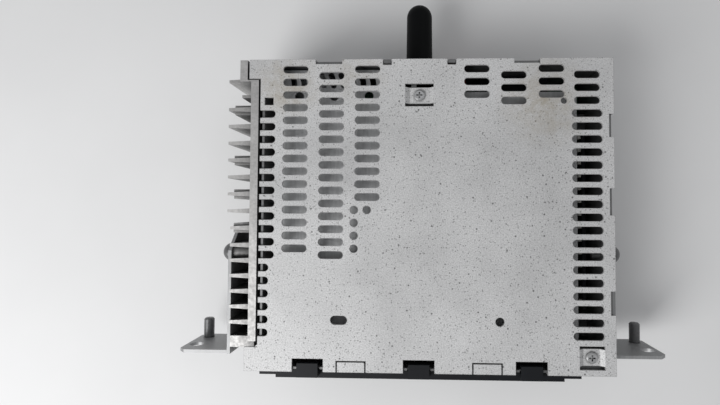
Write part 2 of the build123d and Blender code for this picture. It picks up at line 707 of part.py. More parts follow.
UNDER = COVER_UNDER - 1
OVER = BODY_H + 1
vents = []
for x, rows, shift in zip(LEFT_VENTS, LEFT_ROWS, VENT_SHIFTS):
    for row in range(rows):
        vents.append(slot_x(VENT_L, VENT_W, x, VENT_Y - (row + shift) * PITCH, UNDER, OVER))
for x, shift in zip(RIGHT_VENTS, VENT_SHIFTS):
    for row in range(RIGHT_ROWS):
        vents.append(slot_x(VENT_L, VENT_W, x, VENT_Y - (row + shift) * PITCH, UNDER, OVER))
for row in range(RIGHT_ROWS):
    vents.append(slot_x(VENT_L, VENT_W, SIDE_VENT_X, VENT_Y - (row + 0.5) * PITCH, UNDER, OVER))
for row in range(SIDE_ROWS):
    y = VENT_Y - (RIGHT_ROWS + row + 0.5) * PITCH
    vents.append(slot_x(SIDE_VENT_L, VENT_W, SIDE_VENT_X, y, UNDER, OVER))
EDGE_Y = VENT_Y - EDGE_START_ROW * PITCH
edge = -COVER_LEFT
first = edge + FIRST_VENT_IN
vents.append(box(first, first + FIRST_VENT_W, EDGE_Y - VENT_W / 2, EDGE_Y + VENT_W / 2, UNDER, OVER))
for row in range(1, EDGE_ROWS):
    length = EDGE_VENT_L if row < EDGE_LONG_ROWS else EDGE_SHORT_L
    vents.append(slot_x(2 * length, VENT_W, edge, EDGE_Y - row * PITCH, UNDER, OVER))

holes = [
    slot_x(DATUM_SLOT, 2 * DATUM_R, -DATUM_X, DATUM_Y, UNDER, OVER),
    rod_z(DATUM_R, DATUM_X, DATUM_Y, UNDER, OVER),
    rod_z(PEEP_R, PEEP_X, PEEP_Y, UNDER, OVER),
    rod_z(ADJUST_R, ADJUST_X + PITCH, ADJUST_Y, UNDER, OVER),
]
for k in range(ADJUST_COUNT):
    holes.append(rod_z(ADJUST_R, ADJUST_X, ADJUST_Y - k * PITCH, UNDER, OVER))


def pocket(x, y, length, depth):
    """Cuts for a lanced screw pocket, and the strip that is pressed down into it."""
    hole = box(x - length / 2, x + length / 2, y - depth / 2 - POCKET_SLOT, y + depth / 2 + POCKET_SLOT,
               UNDER, OVER)
    top = [
        (x - length / 2 - SHEET, BODY_H),
        (x - length / 2, BODY_H),
        (x - length / 2 + POCKET_RAMP, POCKET_Z),
        (x + length / 2 - POCKET_RAMP, POCKET_Z),
        (x + length / 2, BODY_H),
        (x + length / 2 + SHEET, BODY_H),
    ]
    strip = plate_xz(top + [(px, pz - SHEET) for px, pz in reversed(top)], y - depth / 2, y + depth / 2)
    return hole, strip - rod_z(COVER_SCREW_R + LOOSE_GAP, x, y, POCKET_Z - 2 * SHEET, OVER)


rear_hole, rear_strip = pocket(0, REAR_SCREW_Y, POCKET_L, POCKET_D)
corner_hole, corner_strip = pocket(CORNER_SCREW_X, CORNER_SCREW_Y, CORNER_POCKET_L, POCKET_D)

edges = []
window_foot = BODY_H - LIP_DROP + WINDOW_FOOT
for x, width in REAR_WINDOWS:
    edges.append(box(x - width / 2, x + width / 2, REAR_Y - WINDOW_DEPTH, REAR_Y + 1, window_foot, OVER))
for inset, width in SIDE_WINDOWS:
    y = REAR_Y - inset
    edges.append(box(SIDE_X - WINDOW_DEPTH, SIDE_X + 1, y - width / 2, y + width / 2, window_foot, OVER))
for side in (-1, 1):
    x = side * HOOK_X
    edges.append(box(x - HOOK_W / 2, x + HOOK_W / 2, REAR_Y - HOOK_DEPTH - SHEET, REAR_Y + 1,
                     UNDER - LIP_DROP, OVER))
for x in LATCHES:
    edges.append(box(x - LATCH_NOTCH_W / 2, x + LATCH_NOTCH_W / 2, FRONT_Y - 1, FRONT_Y + LATCH_NOTCH_D,
                     0, OVER))
for side in (-1, 1):
    x0 = side * TONGUE_X - TONGUE_W / 2
    x1 = side * TONGUE_X + TONGUE_W / 2
    y1 = FRONT_Y + SHEET + TONGUE_D
    for a, b in ((x0 - TONGUE_SLIT, x0), (x1, x1 + TONGUE_SLIT)):
        edges.append(box(a, b, FRONT_Y - 1, y1, BODY_H - LIP_DROP + 1, OVER))
    edges.append(box(x0 - TONGUE_SLIT, x1 + TONGUE_SLIT, y1, y1 + TONGUE_SLIT, UNDER, OVER))

top_cover = cut(top_cover, vents + holes + edges + [rear_hole, corner_hole])
top_cover = joined([top_cover, rear_strip, corner_strip])

side_screw_holes = []
for z in BRACKET_SCREW_Z:
    hole_r = BRACKET_SCREW_R + LOOSE_GAP
    side_screw_holes.append(rod_x(hole_r, WALL_RIGHT - 1, SIDE_X + 1, BRACKET_SCREW_Y, z))
top_cover = cut(top_cover, side_screw_holes)
save("top_cover", top_cover)

# Main frame: four walls, with tabs for screws, deck and board
walls = [
    box(WALL_RIGHT - SHEET, WALL_RIGHT, WALL_FRONT, WALL_REAR, SHEET, COVER_UNDER),
    box(WALL_LEFT, WALL_LEFT + SHEET, WALL_FRONT, WALL_REAR, SHEET, COVER_UNDER),
    box(-COVER_LEFT - REAR_TAB_W, WALL_RIGHT, WALL_REAR - SHEET, WALL_REAR, SHEET, COVER_UNDER),
    box(-COVER_LEFT - FRONT_TAB_W, WALL_RIGHT, WALL_FRONT, WALL_FRONT + SHEET, SHEET, COVER_UNDER),
]
tabs = [
    box(-SCREW_TAB_W / 2, SCREW_TAB_W / 2, REAR_SCREW_Y - SCREW_TAB_D / 2, REAR_SCREW_Y + SCREW_TAB_D / 2,
        TAB_Z - SHEET, TAB_Z),
    box(-SCREW_NECK_LEFT - SCREW_NECK_W / 2, -SCREW_NECK_LEFT + SCREW_NECK_W / 2, REAR_SCREW_Y, WALL_REAR,
        TAB_Z - SHEET, TAB_Z),
    box(CORNER_SCREW_X - CORNER_TAB_LEFT, WALL_RIGHT, WALL_FRONT, CORNER_SCREW_Y + CORNER_TAB_REAR,
        TAB_Z - SHEET, TAB_Z),
]
for y in DAMPER_Y:
    for x0, x1 in ((WALL_LEFT, DAMPER_LEFT_X + LEDGE_REACH), (DAMPER_RIGHT_X - LEDGE_REACH, WALL_RIGHT)):
        tabs.append(box(x0, x1, y - LEDGE_W / 2, y + LEDGE_W / 2, LEDGE_Z - SHEET, LEDGE_Z))
for side in (-1, 1):
    x = side * HOOK_X
    half = HOOK_W / 2 - HOOK_GAP
    tabs.append(box(x - half, x + half, WALL_REAR - SHEET, WALL_REAR + HOOK_OUT, COVER_UNDER - HOOK_ROOT,
                    BODY_H + HOOK_PROUD))
tabs.append(box(-STUD_PLATE_W / 2, STUD_PLATE_W / 2, WALL_REAR, REAR_Y + STUD_PLATE_T, STUD_PLATE_FOOT,
                BODY_H - LIP_DROP - LIP_GAP))

front_inner = WALL_FRONT + 2 * SHEET
openings = [
    port(DECK_X, DISC_Z, SLOT_W + 2 * SLOT_END_GAP, SLOT_H + 2 * FRAME_GAP, FRONT_Y, front_inner),
    port(CONNECTOR_X, CONNECTOR_Z, CONNECTOR_W + 2 * FRAME_GAP, CONNECTOR_H + 2 * FRAME_GAP,
         FRONT_Y, front_inner),
    port(BUTTON_X, BUTTON_Z, BUTTON_W + 4 * BUTTON_FLANGE, BUTTON_H + 4 * BUTTON_FLANGE,
         FRONT_Y, front_inner),
    port(HARNESS_X, HARNESS_Z, HARNESS_W, HARNESS_H, WALL_REAR - 2 * SHEET, REAR_Y + 1),
    port(FUSE_X, FUSE_Z, FUSE_W, FUSE_H, WALL_REAR - 2 * SHEET, REAR_Y + 1),
    rod_y(ANTENNA_R, ANTENNA_X, WALL_REAR - 2 * SHEET, REAR_Y + 1, ANTENNA_Z),
    rod_y(STUD_R, 0, WALL_REAR - 2 * SHEET, REAR_Y + STUD_PLATE_T + 1, STUD_Z),
    rod_z(COVER_SCREW_R, 0, REAR_SCREW_Y, TAB_Z - 2 * SHEET, TAB_Z + 1),
    rod_z(COVER_SCREW_R, CORNER_SCREW_X, CORNER_SCREW_Y, TAB_Z - 2 * SHEET, TAB_Z + 1),
]
for x in LATCHES:
    openings.append(box(x - LATCH_W / 2 - LATCH_GAP, x + LATCH_W / 2 + LATCH_GAP, FRONT_Y - 1, front_inner,
                        COVER_UNDER - LATCH_WINDOW_H, COVER_UNDER + 1))
for y in DAMPER_Y:
    for x in (DAMPER_LEFT_X, DAMPER_RIGHT_X):
        openings.append(rod_z(DECK_SCREW_R, x, y, LEDGE_Z - 2 * SHEET, LEDGE_Z + 1))
for z in BRACKET_SCREW_Z:
    openings.append(rod_x(BRACKET_SCREW_R, WALL_RIGHT - 2 * SHEET, SIDE_X, BRACKET_SCREW_Y, z))
for y in SINK_SCREW_Y:
    openings.append(rod_x(SINK_SCREW_R, WALL_LEFT - 1, WALL_LEFT + 2 * SHEET, y, BRACKET_SCREW_Z[1]))
main_frame = cut(joined(walls + tabs), openings)
save("main_frame", main_frame)

# Bottom cover
bottom_cover = joined([
    box(-COVER_LEFT - REAR_TAB_W, WALL_RIGHT, WALL_FRONT, WALL_REAR, 0, SHEET),
    box(-COVER_LEFT - REAR_TAB_W, WALL_RIGHT, WALL_REAR, REAR_Y, 0, BOTTOM_LIP),
])
save("bottom_cover", bottom_cover)

# Heat sink
front_fins = [SINK_FRONT + FRONT_FIN_IN + k * FRONT_FIN_PITCH for k in range(FRONT_FIN_COUNT)]
fin_count = int((FIN_FIRST - front_fins[-1]) / FIN_PITCH + 0.5)
fin_ys = [FIN_FIRST - k * FIN_PITCH for k in range(fin_count)] + front_fins
rear_lug = REAR_LUG_IN - SIDE_X
sink = [
    box(SINK_FACE, SINK_IN, SINK_FRONT, SINK_REAR, SINK_FOOT, SINK_TOP),
    box(rear_lug, SINK_FACE, WALL_REAR - SHEET - REAR_LUG_D, SINK_REAR, SINK_FOOT, SINK_TOP),
    box(rear_lug, rear_lug + REAR_LUG_W, WALL_REAR - SHEET - REAR_LUG_D, REAR_Y, SINK_FOOT, SINK_TOP),
    box(-BRACKET_X, SINK_FACE + ROOTED, SINK_FRONT - FRONT_LUG_D, SINK_FRONT + ROOTED,
        SINK_FOOT, BRACKET_TOP),
]
end_fin_y = WALL_REAR - SHEET - REAR_LUG_D + FIN_ROOT / 2
for y in [end_fin_y] + fin_ys:
    tip = -SIDE_X - FIN_OUT if y > BRACKET_REAR + FIN_ROOT else -BRACKET_X
    fin = [
        (SINK_FACE + ROOTED, y - FIN_ROOT / 2),
        (tip, y - FIN_TIP / 2),
        (tip, y + FIN_TIP / 2),
        (SINK_FACE + ROOTED, y + FIN_ROOT / 2),
    ]
    sink.append(plate_xy(fin, SINK_FOOT, BRACKET_TOP + FIN_ABOVE))
for k in BOSS_FIN_INDEX:
    y = fin_ys[k]
    sink.append(box(SINK_FACE - FIN_BOSS_REACH, SINK_FACE + ROOTED, y - FIN_BOSS_W / 2, y + FIN_BOSS_W / 2,
                    SINK_FOOT, BRACKET_TOP))
sink.append(box(SINK_FACE - SHORT_FIN_L, SINK_FACE + ROOTED,
                SHORT_FIN_Y - FIN_TIP / 2, SHORT_FIN_Y + FIN_TIP / 2, SINK_FOOT, BRACKET_TOP + FIN_ABOVE))
for z in BRACKET_SCREW_Z:
    sink.append(rod_x(DOME_R, -BRACKET_X, SINK_FACE + ROOTED, BRACKET_SCREW_Y, z))
for y in SINK_SCREW_Y:
    sink.append(rod_x(DOME_R, SINK_FACE + ROOTED, WALL_LEFT, y, BRACKET_SCREW_Z[1]))
sink_cuts = []
for z in BRACKET_SCREW_Z:
    sink_cuts.append(rod_x(BRACKET_SCREW_R, -BRACKET_X - 1, -SIDE_X + BRACKET_SCREW_L, BRACKET_SCREW_Y, z))
for y in SINK_SCREW_Y:
    sink_cuts.append(rod_x(SINK_SCREW_R, WALL_LEFT + 1, SINK_FACE + SINK_SCREW_DEPTH, y, BRACKET_SCREW_Z[1]))
heat_sink = cut(joined(sink), sink_cuts)
save("heat_sink", heat_sink)


# Side brackets
def bracket(side):
    """A side plate with an ear at its front."""
    wide = BRACKET_X + BRACKET_T
    plate = [
        (EAR_Y - BRACKET_T, BRACKET_FOOT),
        (BRACKET_REAR - BRACKET_CORNER, BRACKET_FOOT),
        (BRACKET_REAR, BRACKET_FOOT + BRACKET_CORNER),
        (BRACKET_REAR, BRACKET_TOP - BRACKET_CORNER),
        (BRACKET_REAR - BRACKET_CORNER, BRACKET_TOP),
        (EAR_Y - BRACKET_T, BRACKET_TOP),
    ]
    x0, x1 = sorted((side * BRACKET_X, side * wide))
    body = plate_yz(plate, x0, x1)
    ear = [
        (side * BRACKET_X, EAR_FOOT),
        (side * (EAR_TIP - EAR_CORNER), EAR_FOOT),
        (side * EAR_TIP, EAR_FOOT + EAR_CORNER),
        (side * EAR_TIP, EAR_TOP - EAR_CORNER),
        (side * (EAR_TIP - EAR_CORNER), EAR_TOP),
        (side * BRACKET_X, EAR_TOP),
    ]
    body += plate_xz(ear, EAR_Y - BRACKET_T, EAR_Y)
    body += rod_x(NUB_R, side * BRACKET_X, side * (wide + NUB_H), NUB_Y, NUB_Z)
    if side > 0:
        for z in BRACKET_SCREW_Z:
            body += rod_x(BRACKET_PAD_R, SIDE_X, BRACKET_X, BRACKET_SCREW_Y, z)
            body += rod_x(BRACKET_PAD_R, SIDE_X, BRACKET_X, NUB_Y, z)
    body -= rod_y(EAR_HOLE_R, side * EAR_HOLE_X, EAR_Y - BRACKET_T - 1, EAR_Y + 1, EAR_HOLE_Z)
    body -= rod_y(PIN_NECK_R, side * EAR_HOLE_X, EAR_Y - BRACKET_T - 1, EAR_Y + 1, PIN_Z)
    for z in BRACKET_SCREW_Z:
        body -= rod_x(BRACKET_SCREW_R, side * (SIDE_X - 1), side * (wide + 1), BRACKET_SCREW_Y, z)
    return body


def locating_pin(side):
    """A pin riveted to the ear, with a rounded rear end."""
    x = side * EAR_HOLE_X
    body = rod_y(PIN_R, x, EAR_Y, EAR_Y + PIN_L, PIN_Z)
    body = chamfer(body.faces().sort_by(Axis.Y)[-1].edges(), PIN_EDGE)
    return body + rod_y(PIN_NECK_R, x, EAR_Y - BRACKET_T, EAR_Y, PIN_Z)


save("bracket_left", bracket(-1))
save("bracket_right", bracket(1))
save("locating_pin_left", locating_pin(-1))
save("locating_pin_right", locating_pin(1))


def dome_screw(side, z):
    """A dome-headed screw with a cross recess, driven towards the middle."""
    seat = -BRACKET_X - BRACKET_T
    ball_r = (DOME_R ** 2 + DOME_H ** 2) / (2 * DOME_H)
    ball = Pos(seat - DOME_H + ball_r, BRACKET_SCREW_Y, z) * Sphere(ball_r)
    reach = 2 * ball_r
    head = ball - box(seat, seat + reach, BRACKET_SCREW_Y - reach, BRACKET_SCREW_Y + reach,
                      z - reach, z + reach)
    out = seat - DOME_H - 1
    deep = out + RECESS_D + 1
    arm = RECESS_L / 2
    half = RECESS_W / 2
    head -= box(out, deep, BRACKET_SCREW_Y - arm, BRACKET_SCREW_Y + arm, z - half, z + half)
    head -= box(out, deep, BRACKET_SCREW_Y - half, BRACKET_SCREW_Y + half, z - arm, z + arm)
    screw = head + rod_x(BRACKET_SCREW_R, seat, -SIDE_X + BRACKET_SCREW_L - HOLE_END, BRACKET_SCREW_Y, z)
    return screw if side < 0 else mirror(screw, about=Plane.YZ)


save("bracket_screws", [dome_screw(side, z) for side in (-1, 1) for z in BRACKET_SCREW_Z])


def cover_screw(x, y):
    """A pan-headed screw with a cross recess, in a cover pocket."""
    head = rod_z(COVER_HEAD_R, x, y, POCKET_Z, POCKET_Z + COVER_HEAD_H)
    head = chamfer(head.faces().sort_by(Axis.Z)[-1].edges(), COVER_HEAD_H / 3)
    top = POCKET_Z + COVER_HEAD_H
    arm = COVER_RECESS_L / 2
    half = COVER_RECESS_W / 2
    floor = top - COVER_RECESS_D
    head -= box(x - arm, x + arm, y - half, y + half, floor, top + 1)
    head -= box(x - half, x + half, y - arm, y + arm, floor, top + 1)
    return head + rod_z(COVER_SCREW_R, x, y, (TAB_UNDER + DECK_TOP) / 2, POCKET_Z)


save("cover_screws", [cover_screw(0, REAR_SCREW_Y), cover_screw(CORNER_SCREW_X, CORNER_SCREW_Y)])

sink_screws = []
for y in SINK_SCREW_Y:
    z = BRACKET_SCREW_Z[1]
    screw = rod_x(COVER_HEAD_R, WALL_LEFT + SHEET, WALL_LEFT + SHEET + COVER_HEAD_H, y, z)
    screw += rod_x(SINK_SCREW_R, WALL_LEFT + SHEET, SINK_FACE + SINK_SCREW_DEPTH + ROOTED, y, z)
    sink_screws.append(screw)
save("heat_sink_screws", sink_screws)

# Rear stud and its boot
stud_face = REAR_Y + STUD_PLATE_T
rear_stud = rod_y(STUD_R, 0, WALL_REAR - SHEET, stud_face + STUD_L, STUD_Z)
rear_stud += rod_y(STUD_R + STUD_HEAD_EDGE, 0, WALL_REAR - SHEET - STUD_HEAD_T, WALL_REAR - SHEET, STUD_Z)
save("rear_stud", rear_stud)
dome_start = stud_face + BOOT_L - BOOT_R
rear_boot = rod_y(BOOT_R, 0, stud_face, dome_start, STUD_Z)
rear_boot += Pos(0, dome_start, STUD_Z) * Sphere(BOOT_R)
rear_boot += rod_y(BOOT_R + BOOT_BASE_EXTRA, 0, stud_face, stud_face + BOOT_BASE_L, STUD_Z)
rear_boot -= rod_y(STUD_R, 0, stud_face - 1, stud_face + STUD_L, STUD_Z)
save("rear_boot", rear_boot)

# Front panel with its latches, disc slot, button opening and connector window
face_foot = PANEL_FOOT + FACE_MARGIN
face_top = PANEL_TOP - FACE_MARGIN
LATCH_TOP = BODY_H + LATCH_PROUD
panel = [
    box(-PANEL_W / 2, PANEL_W / 2, PANEL_Y, PANEL_BACK, PANEL_FOOT, PANEL_TOP),
    box(-FACE_W / 2, FACE_W / 2, FACE_Y, PANEL_Y, face_foot, face_top),
]
for x in LATCHES:
    x0 = x - LATCH_W / 2
    x1 = x + LATCH_W / 2
    under = LATCH_TOP - LATCH_T
    hook = WALL_FRONT + SHEET + SLIDE_GAP
    panel.append(box(x0, x1, PANEL_Y, PANEL_BACK, PANEL_TOP, LATCH_TOP))
    panel.append(box(x0, x1, PANEL_BACK, FRONT_Y + LATCH_REACH, under, LATCH_TOP))
    panel.append(box(x0, x1, hook, FRONT_Y + LATCH_REACH, COVER_UNDER - LATCH_HOOK_L, under))
slot_z0 = DISC_Z - SLOT_H / 2
slot_z1 = DISC_Z + SLOT_H / 2
felt_half = SLOT_W / 2 + FELT_END
panel_cuts = [
    port(DECK_X, DISC_Z, SLOT_W, SLOT_H, FACE_Y - 1, PANEL_BACK + 1),
    port(DECK_X, DISC_Z, 2 * felt_half, SLOT_H + 2 * FELT_BACK, PANEL_BACK - FELT_T, PANEL_BACK + 1),
    port(BUTTON_X, BUTTON_Z, BUTTON_W + 2 * PORT_GAP, BUTTON_H + 2 * PORT_GAP, FACE_Y - 1, PANEL_BACK + 1),
    port(CONNECTOR_X, CONNECTOR_Z, CONNECTOR_W + 2 * PORT_GAP, CONNECTOR_H + 2 * PORT_GAP,
         FACE_Y - 1, PANEL_BACK + 1),
]
front_panel = cut(joined(panel), panel_cuts)
save("front_panel", front_panel)

save("slot_felt_upper", box(DECK_X - felt_half, DECK_X + felt_half, PANEL_BACK - FELT_T, PANEL_BACK,
                            slot_z1 - FELT_LIP, slot_z1 + FELT_BACK))
save("slot_felt_lower", box(DECK_X - felt_half, DECK_X + felt_half, PANEL_BACK - FELT_T, PANEL_BACK,
                            slot_z0 - FELT_BACK, slot_z0 + FELT_LIP))

# Board behind the front panel, with the connector for the trim plate and the eject switch
front_board = box(WALL_LEFT + SHEET + FRONT_BOARD_LEFT, WALL_RIGHT - SHEET - FRONT_BOARD_RIGHT,
                  FRONT_BOARD_Y, FRONT_BOARD_Y + BOARD_T, BOARD_TOP, BOARD_TOP + FRONT_BOARD_H)
save("front_board", front_board)

connector = port(CONNECTOR_X, CONNECTOR_Z, CONNECTOR_W, CONNECTOR_H, PANEL_Y, FRONT_BOARD_Y)
plug_w = CONNECTOR_W - 2 * CONNECTOR_WALL
plug_back = PANEL_Y + PLUG_DEPTH
connector -= port(CONNECTOR_X, CONNECTOR_Z, plug_w, CONNECTOR_H - 2 * CONNECTOR_WALL, PANEL_Y - 1, plug_back)
contact_count = int((plug_w - CONTACT_PITCH) / CONTACT_PITCH)
for k in range(contact_count):
    x = CONNECTOR_X + (k - (contact_count - 1) / 2) * CONTACT_PITCH
    connector += port(x, CONNECTOR_Z, CONTACT_T, 2 * CONTACT_T, plug_back - CONTACT_L, plug_back)
save("fascia_connector", connector)

# Eject button: a cap in its opening, kept in by a flange behind the panel
flange_y = PANEL_BACK + SLIDE_GAP
button_rear = flange_y + BUTTON_FLANGE_T
button = port(BUTTON_X, BUTTON_Z, BUTTON_W, BUTTON_H, FACE_Y - BUTTON_PROUD, flange_y)
button = fillet(button.faces().sort_by(Axis.Y)[0].edges(), BUTTON_EDGE)
button += port(BUTTON_X, BUTTON_Z, BUTTON_W + 2 * BUTTON_FLANGE, BUTTON_H + 2 * BUTTON_FLANGE,
               flange_y, button_rear)
save("eject_button", button)
switch_y = button_rear + BUTTON_TRAVEL + SLIDE_GAP
save("eject_switch", port(BUTTON_X, BUTTON_Z, SWITCH_W, SWITCH_H, switch_y, FRONT_BOARD_Y))

# Main board on standoffs
board_left = WALL_LEFT + SHEET + BOARD_GAP
board_right = WALL_RIGHT - SHEET - BOARD_GAP
board_rear = WALL_REAR - SHEET - BOARD_GAP
board_front = FRONT_BOARD_Y
save("main_board", box(board_left, board_right, board_front, board_rear, BOARD_Z, BOARD_TOP))
save("board_standoffs", [rod_z(STANDOFF_R, x, y, SHEET, BOARD_Z)
                         for x in (board_left + STANDOFF_IN, board_right - STANDOFF_IN)
                         for y in (board_front + STANDOFF_IN, board_rear - STANDOFF_IN)])

# Power amplifier chip, pressed to the wall beside the heat sink
chip_x = WALL_LEFT + SHEET
chip_top = BOARD_TOP + CHIP_H
chip = box(chip_x, chip_x + CHIP_T, CHIP_Y - CHIP_W / 2, CHIP_Y + CHIP_W / 2, BOARD_TOP + CHIP_FOOT, chip_top)
chip_pitch = (CHIP_W - 2 * CHIP_PIN_IN) / (PIN_COUNT - 1)
pin_x = chip_x + CHIP_T - 2 * CHIP_PIN_T
for k in range(PIN_COUNT):
    y = CHIP_Y + (k - (PIN_COUNT - 1) / 2) * chip_pitch
    chip += box(pin_x, pin_x + CHIP_PIN_T, y - CHIP_PIN_W / 2, y + CHIP_PIN_W / 2,
                BOARD_TOP, BOARD_TOP + CHIP_FOOT)
save("power_amp_chip", chip)
clip_x = chip_x + CHIP_T
clip_y0 = CHIP_Y - CLIP_W / 2
clip_y1 = CHIP_Y + CLIP_W / 2
clip = joined([
    box(clip_x, clip_x + CLIP_T, clip_y0, clip_y1, chip_top - CLIP_ARM, chip_top + CLIP_T),
    box(chip_x, clip_x + CLIP_T, clip_y0, clip_y1, chip_top, chip_top + CLIP_T),
    box(chip_x, chip_x + CLIP_T, clip_y0, clip_y1, chip_top, chip_top + CLIP_TAB),
])
clip_screw_z = chip_top + CLIP_SCREW_UP
clip -= rod_x(COVER_SCREW_R, chip_x - 1, chip_x + CLIP_T + 1, CHIP_Y, clip_screw_z)
save("amp_clip", clip)
clip_screw = rod_x(COVER_HEAD_R, chip_x + CLIP_T, chip_x + CLIP_T + COVER_HEAD_H, CHIP_Y, clip_screw_z)
clip_screw += rod_x(COVER_SCREW_R, chip_x, chip_x + CLIP_T, CHIP_Y, clip_screw_z)
save("amp_clip_screw", clip_screw)

# Parts on the main board
save("capacitors", [rod_z(CAP_R, x, board_rear - CAP_REAR_IN, BOARD_TOP, BOARD_TOP + CAP_H) for x in CAP_XS])
choke_y = board_rear - CHOKE_REAR_IN
choke_top = BOARD_TOP + CHOKE_H
choke = rod_z(CHOKE_R, CHOKE_X, choke_y, BOARD_TOP, BOARD_TOP + CHOKE_END_T)
choke += rod_z(CHOKE_R, CHOKE_X, choke_y, choke_top - CHOKE_END_T, choke_top)
choke += rod_z(CHOKE_R - CHOKE_STEP, CHOKE_X, choke_y, BOARD_TOP, choke_top)
save("choke_coil", choke)
tuner_rear = WALL_REAR - SHEET
save("tuner_can", box(ANTENNA_X - TUNER_W / 2, ANTENNA_X + TUNER_W / 2, tuner_rear - TUNER_D, tuner_rear,
                      BOARD_TOP, ANTENNA_Z - ANTENNA_R))

# Side board along the right wall, whose row of parts shows through the long vents
SIDE_BOARD_X = WALL_RIGHT - SHEET - SIDE_BOARD_IN
SIDE_BOARD_Y = (FRONT_Y + SIDE_BOARD_FRONT_IN, REAR_Y - SIDE_BOARD_REAR_IN)
side_board = box(SIDE_BOARD_X, SIDE_BOARD_X + BOARD_T, *SIDE_BOARD_Y, BOARD_TOP, SIDE_BOARD_TOP)
save("side_board", side_board)
side_span = SIDE_BOARD_Y[1] - SIDE_BOARD_Y[0]
side_count = int(side_span / SIDE_PART_STEP)
part_top = SIDE_BOARD_TOP - SIDE_PART_BELOW
side_parts = []
for k in range(side_count):
    y = SIDE_BOARD_Y[0] + (k + 0.5) * side_span / side_count
    side_parts.append(box(SIDE_BOARD_X - SIDE_PART_W, SIDE_BOARD_X, y - SIDE_PART_D / 2, y + SIDE_PART_D / 2,
                          part_top - SIDE_PART_H, part_top))
save("side_board_parts", side_parts)

# Rear sockets
hx0 = HARNESS_X - HARNESS_W / 2
hx1 = HARNESS_X + HARNESS_W / 2
hz0 = HARNESS_Z - HARNESS_H / 2
hz1 = HARNESS_Z + HARNESS_H / 2
harness_front = REAR_Y - HARNESS_D
harness = box(hx0, hx1, harness_front, REAR_Y, hz0, hz1)
harness -= box(hx0 + HARNESS_WALL, hx1 - HARNESS_WALL, harness_front + HARNESS_BASE, REAR_Y + 1,
               hz0 + HARNESS_WALL, hz1 - HARNESS_WALL)
harness += box(HARNESS_X - HARNESS_W / 4, HARNESS_X + HARNESS_W / 4,
               harness_front, harness_front + HARNESS_BASE, BOARD_TOP, hz0)
blades = []
for row in (-0.5, 0.5):
    for col in range(BLADE_COLS):
        x = HARNESS_X + (col - (BLADE_COLS - 1) / 2) * BLADE_STEP
        z = HARNESS_Z + row * BLADE_ROW
        y0 = harness_front + HARNESS_BASE
        blades.append(port(x, z, BLADE_W, BLADE_W, y0, y0 + BLADE_L))
save("harness_socket", harness)
save("harness_pins", blades)

antenna = rod_y(ANTENNA_R, ANTENNA_X, WALL_REAR - SHEET - ANTENNA_L, REAR_Y, ANTENNA_Z)
antenna -= rod_y(ANTENNA_BORE_R, ANTENNA_X, REAR_Y - ANTENNA_DEPTH, REAR_Y + 1, ANTENNA_Z)
save("antenna_socket", antenna)

fuse_front = WALL_REAR - SHEET - FUSE_IN
fuse = port(FUSE_X, FUSE_Z, FUSE_W, FUSE_H, fuse_front, REAR_Y + FUSE_PROUD)
fuse += box(FUSE_X - FUSE_FOOT_W / 2, FUSE_X + FUSE_FOOT_W / 2, fuse_front, fuse_front + FUSE_FOOT_D,
            BOARD_TOP, FUSE_Z - FUSE_H / 2)
save("fuse", fuse)

# Disc deck: base with side walls and ears, and the cover seen through the vents
base_top = BASE_Z + DECK_SHEET
lid_z = DECK_TOP - DECK_SHEET
wall_in = DECK_RIGHT - DECK_SHEET
wall_left = DECK_LEFT + DECK_SHEET
disc_under = DISC_Z - DISC_T / 2
disc_over = DISC_Z + DISC_T / 2
roller_z = disc_under - ROLLER_R
mesh = (ROLLER_TEETH + IDLER_TEETH) * MODULE / 2
roller_rise = roller_z - ROLLER_PIVOT_Z
roller_y = ROLLER_PIVOT_Y - math.sqrt(mesh ** 2 - roller_rise ** 2)
gear_x0 = ARM_RIGHT + GEAR_GAP
gear_x1 = gear_x0 + GEAR_W
lug_x0 = gear_x1 + 2 * GEAR_GAP
lug_x1 = lug_x0 + LUG_T
slider_x1 = wall_in - SLIDE_GAP
slider_x0 = slider_x1 - SLIDER_T
idler_tip = IDLER_TEETH * MODULE / 2 + GEAR_TIP * MODULE
worm_z = ROLLER_PIVOT_Z - idler_tip - WORM_GAP - WORM_R
worm_x = (gear_x0 + gear_x1) / 2

base = [
    box(DECK_LEFT, DECK_RIGHT, DECK_FRONT, DECK_REAR, BASE_Z, base_top),
    box(DECK_LEFT, wall_left, DECK_FRONT, DECK_REAR, BASE_Z, lid_z),
    box(wall_in, DECK_RIGHT, DECK_FRONT, DECK_REAR, BASE_Z, lid_z),
]
for y in DAMPER_Y:
    half = DAMPER_R + DAMPER_RIM
    base.append(box(DAMPER_LEFT_X - LEDGE_REACH, DECK_LEFT + 1, y - half, y + half, BASE_Z, base_top))
    base.append(box(DECK_RIGHT - 1, DAMPER_RIGHT_X + LEDGE_REACH, y - half, y + half, BASE_Z, base_top))
windows = [
    box(ARM_LEFT - WINDOW_GAP, gear_x1 + GEAR_GAP, DECK_FRONT - 1, roller_y + ROLLER_R + WINDOW_GAP,
        BASE_Z - 1, base_top + 1),
    box(ARM_RIGHT - ARM_T - GEAR_GAP, gear_x1 + GEAR_GAP,
        DECK_FRONT - 1, ROLLER_PIVOT_Y + idler_tip + 2 * GEAR_GAP, BASE_Z - 1, base_top + 1),
    box(SLED_END - SLED_L / 2 - SLED_END_GAP, SLED_X + SLED_L / 2 + SLED_START_GAP,
        DISC_Y - SLED_D / 2 - WINDOW_GAP, DISC_Y + SLED_D / 2 + WINDOW_GAP, BASE_Z - 1, base_top + 1),
]
base_cuts = [rod_z(MOTOR_BOSS_R, DECK_X, DISC_Y, BASE_Z - 1, base_top + 1)]
for y in DAMPER_Y:
    for x in (DAMPER_LEFT_X, DAMPER_RIGHT_X):
        base_cuts.append(rod_z(DECK_SCREW_R, x, y, BASE_Z - 1, base_top + 1))
pivot_front = ROLLER_PIVOT_Y - PIVOT_LUG_HALF
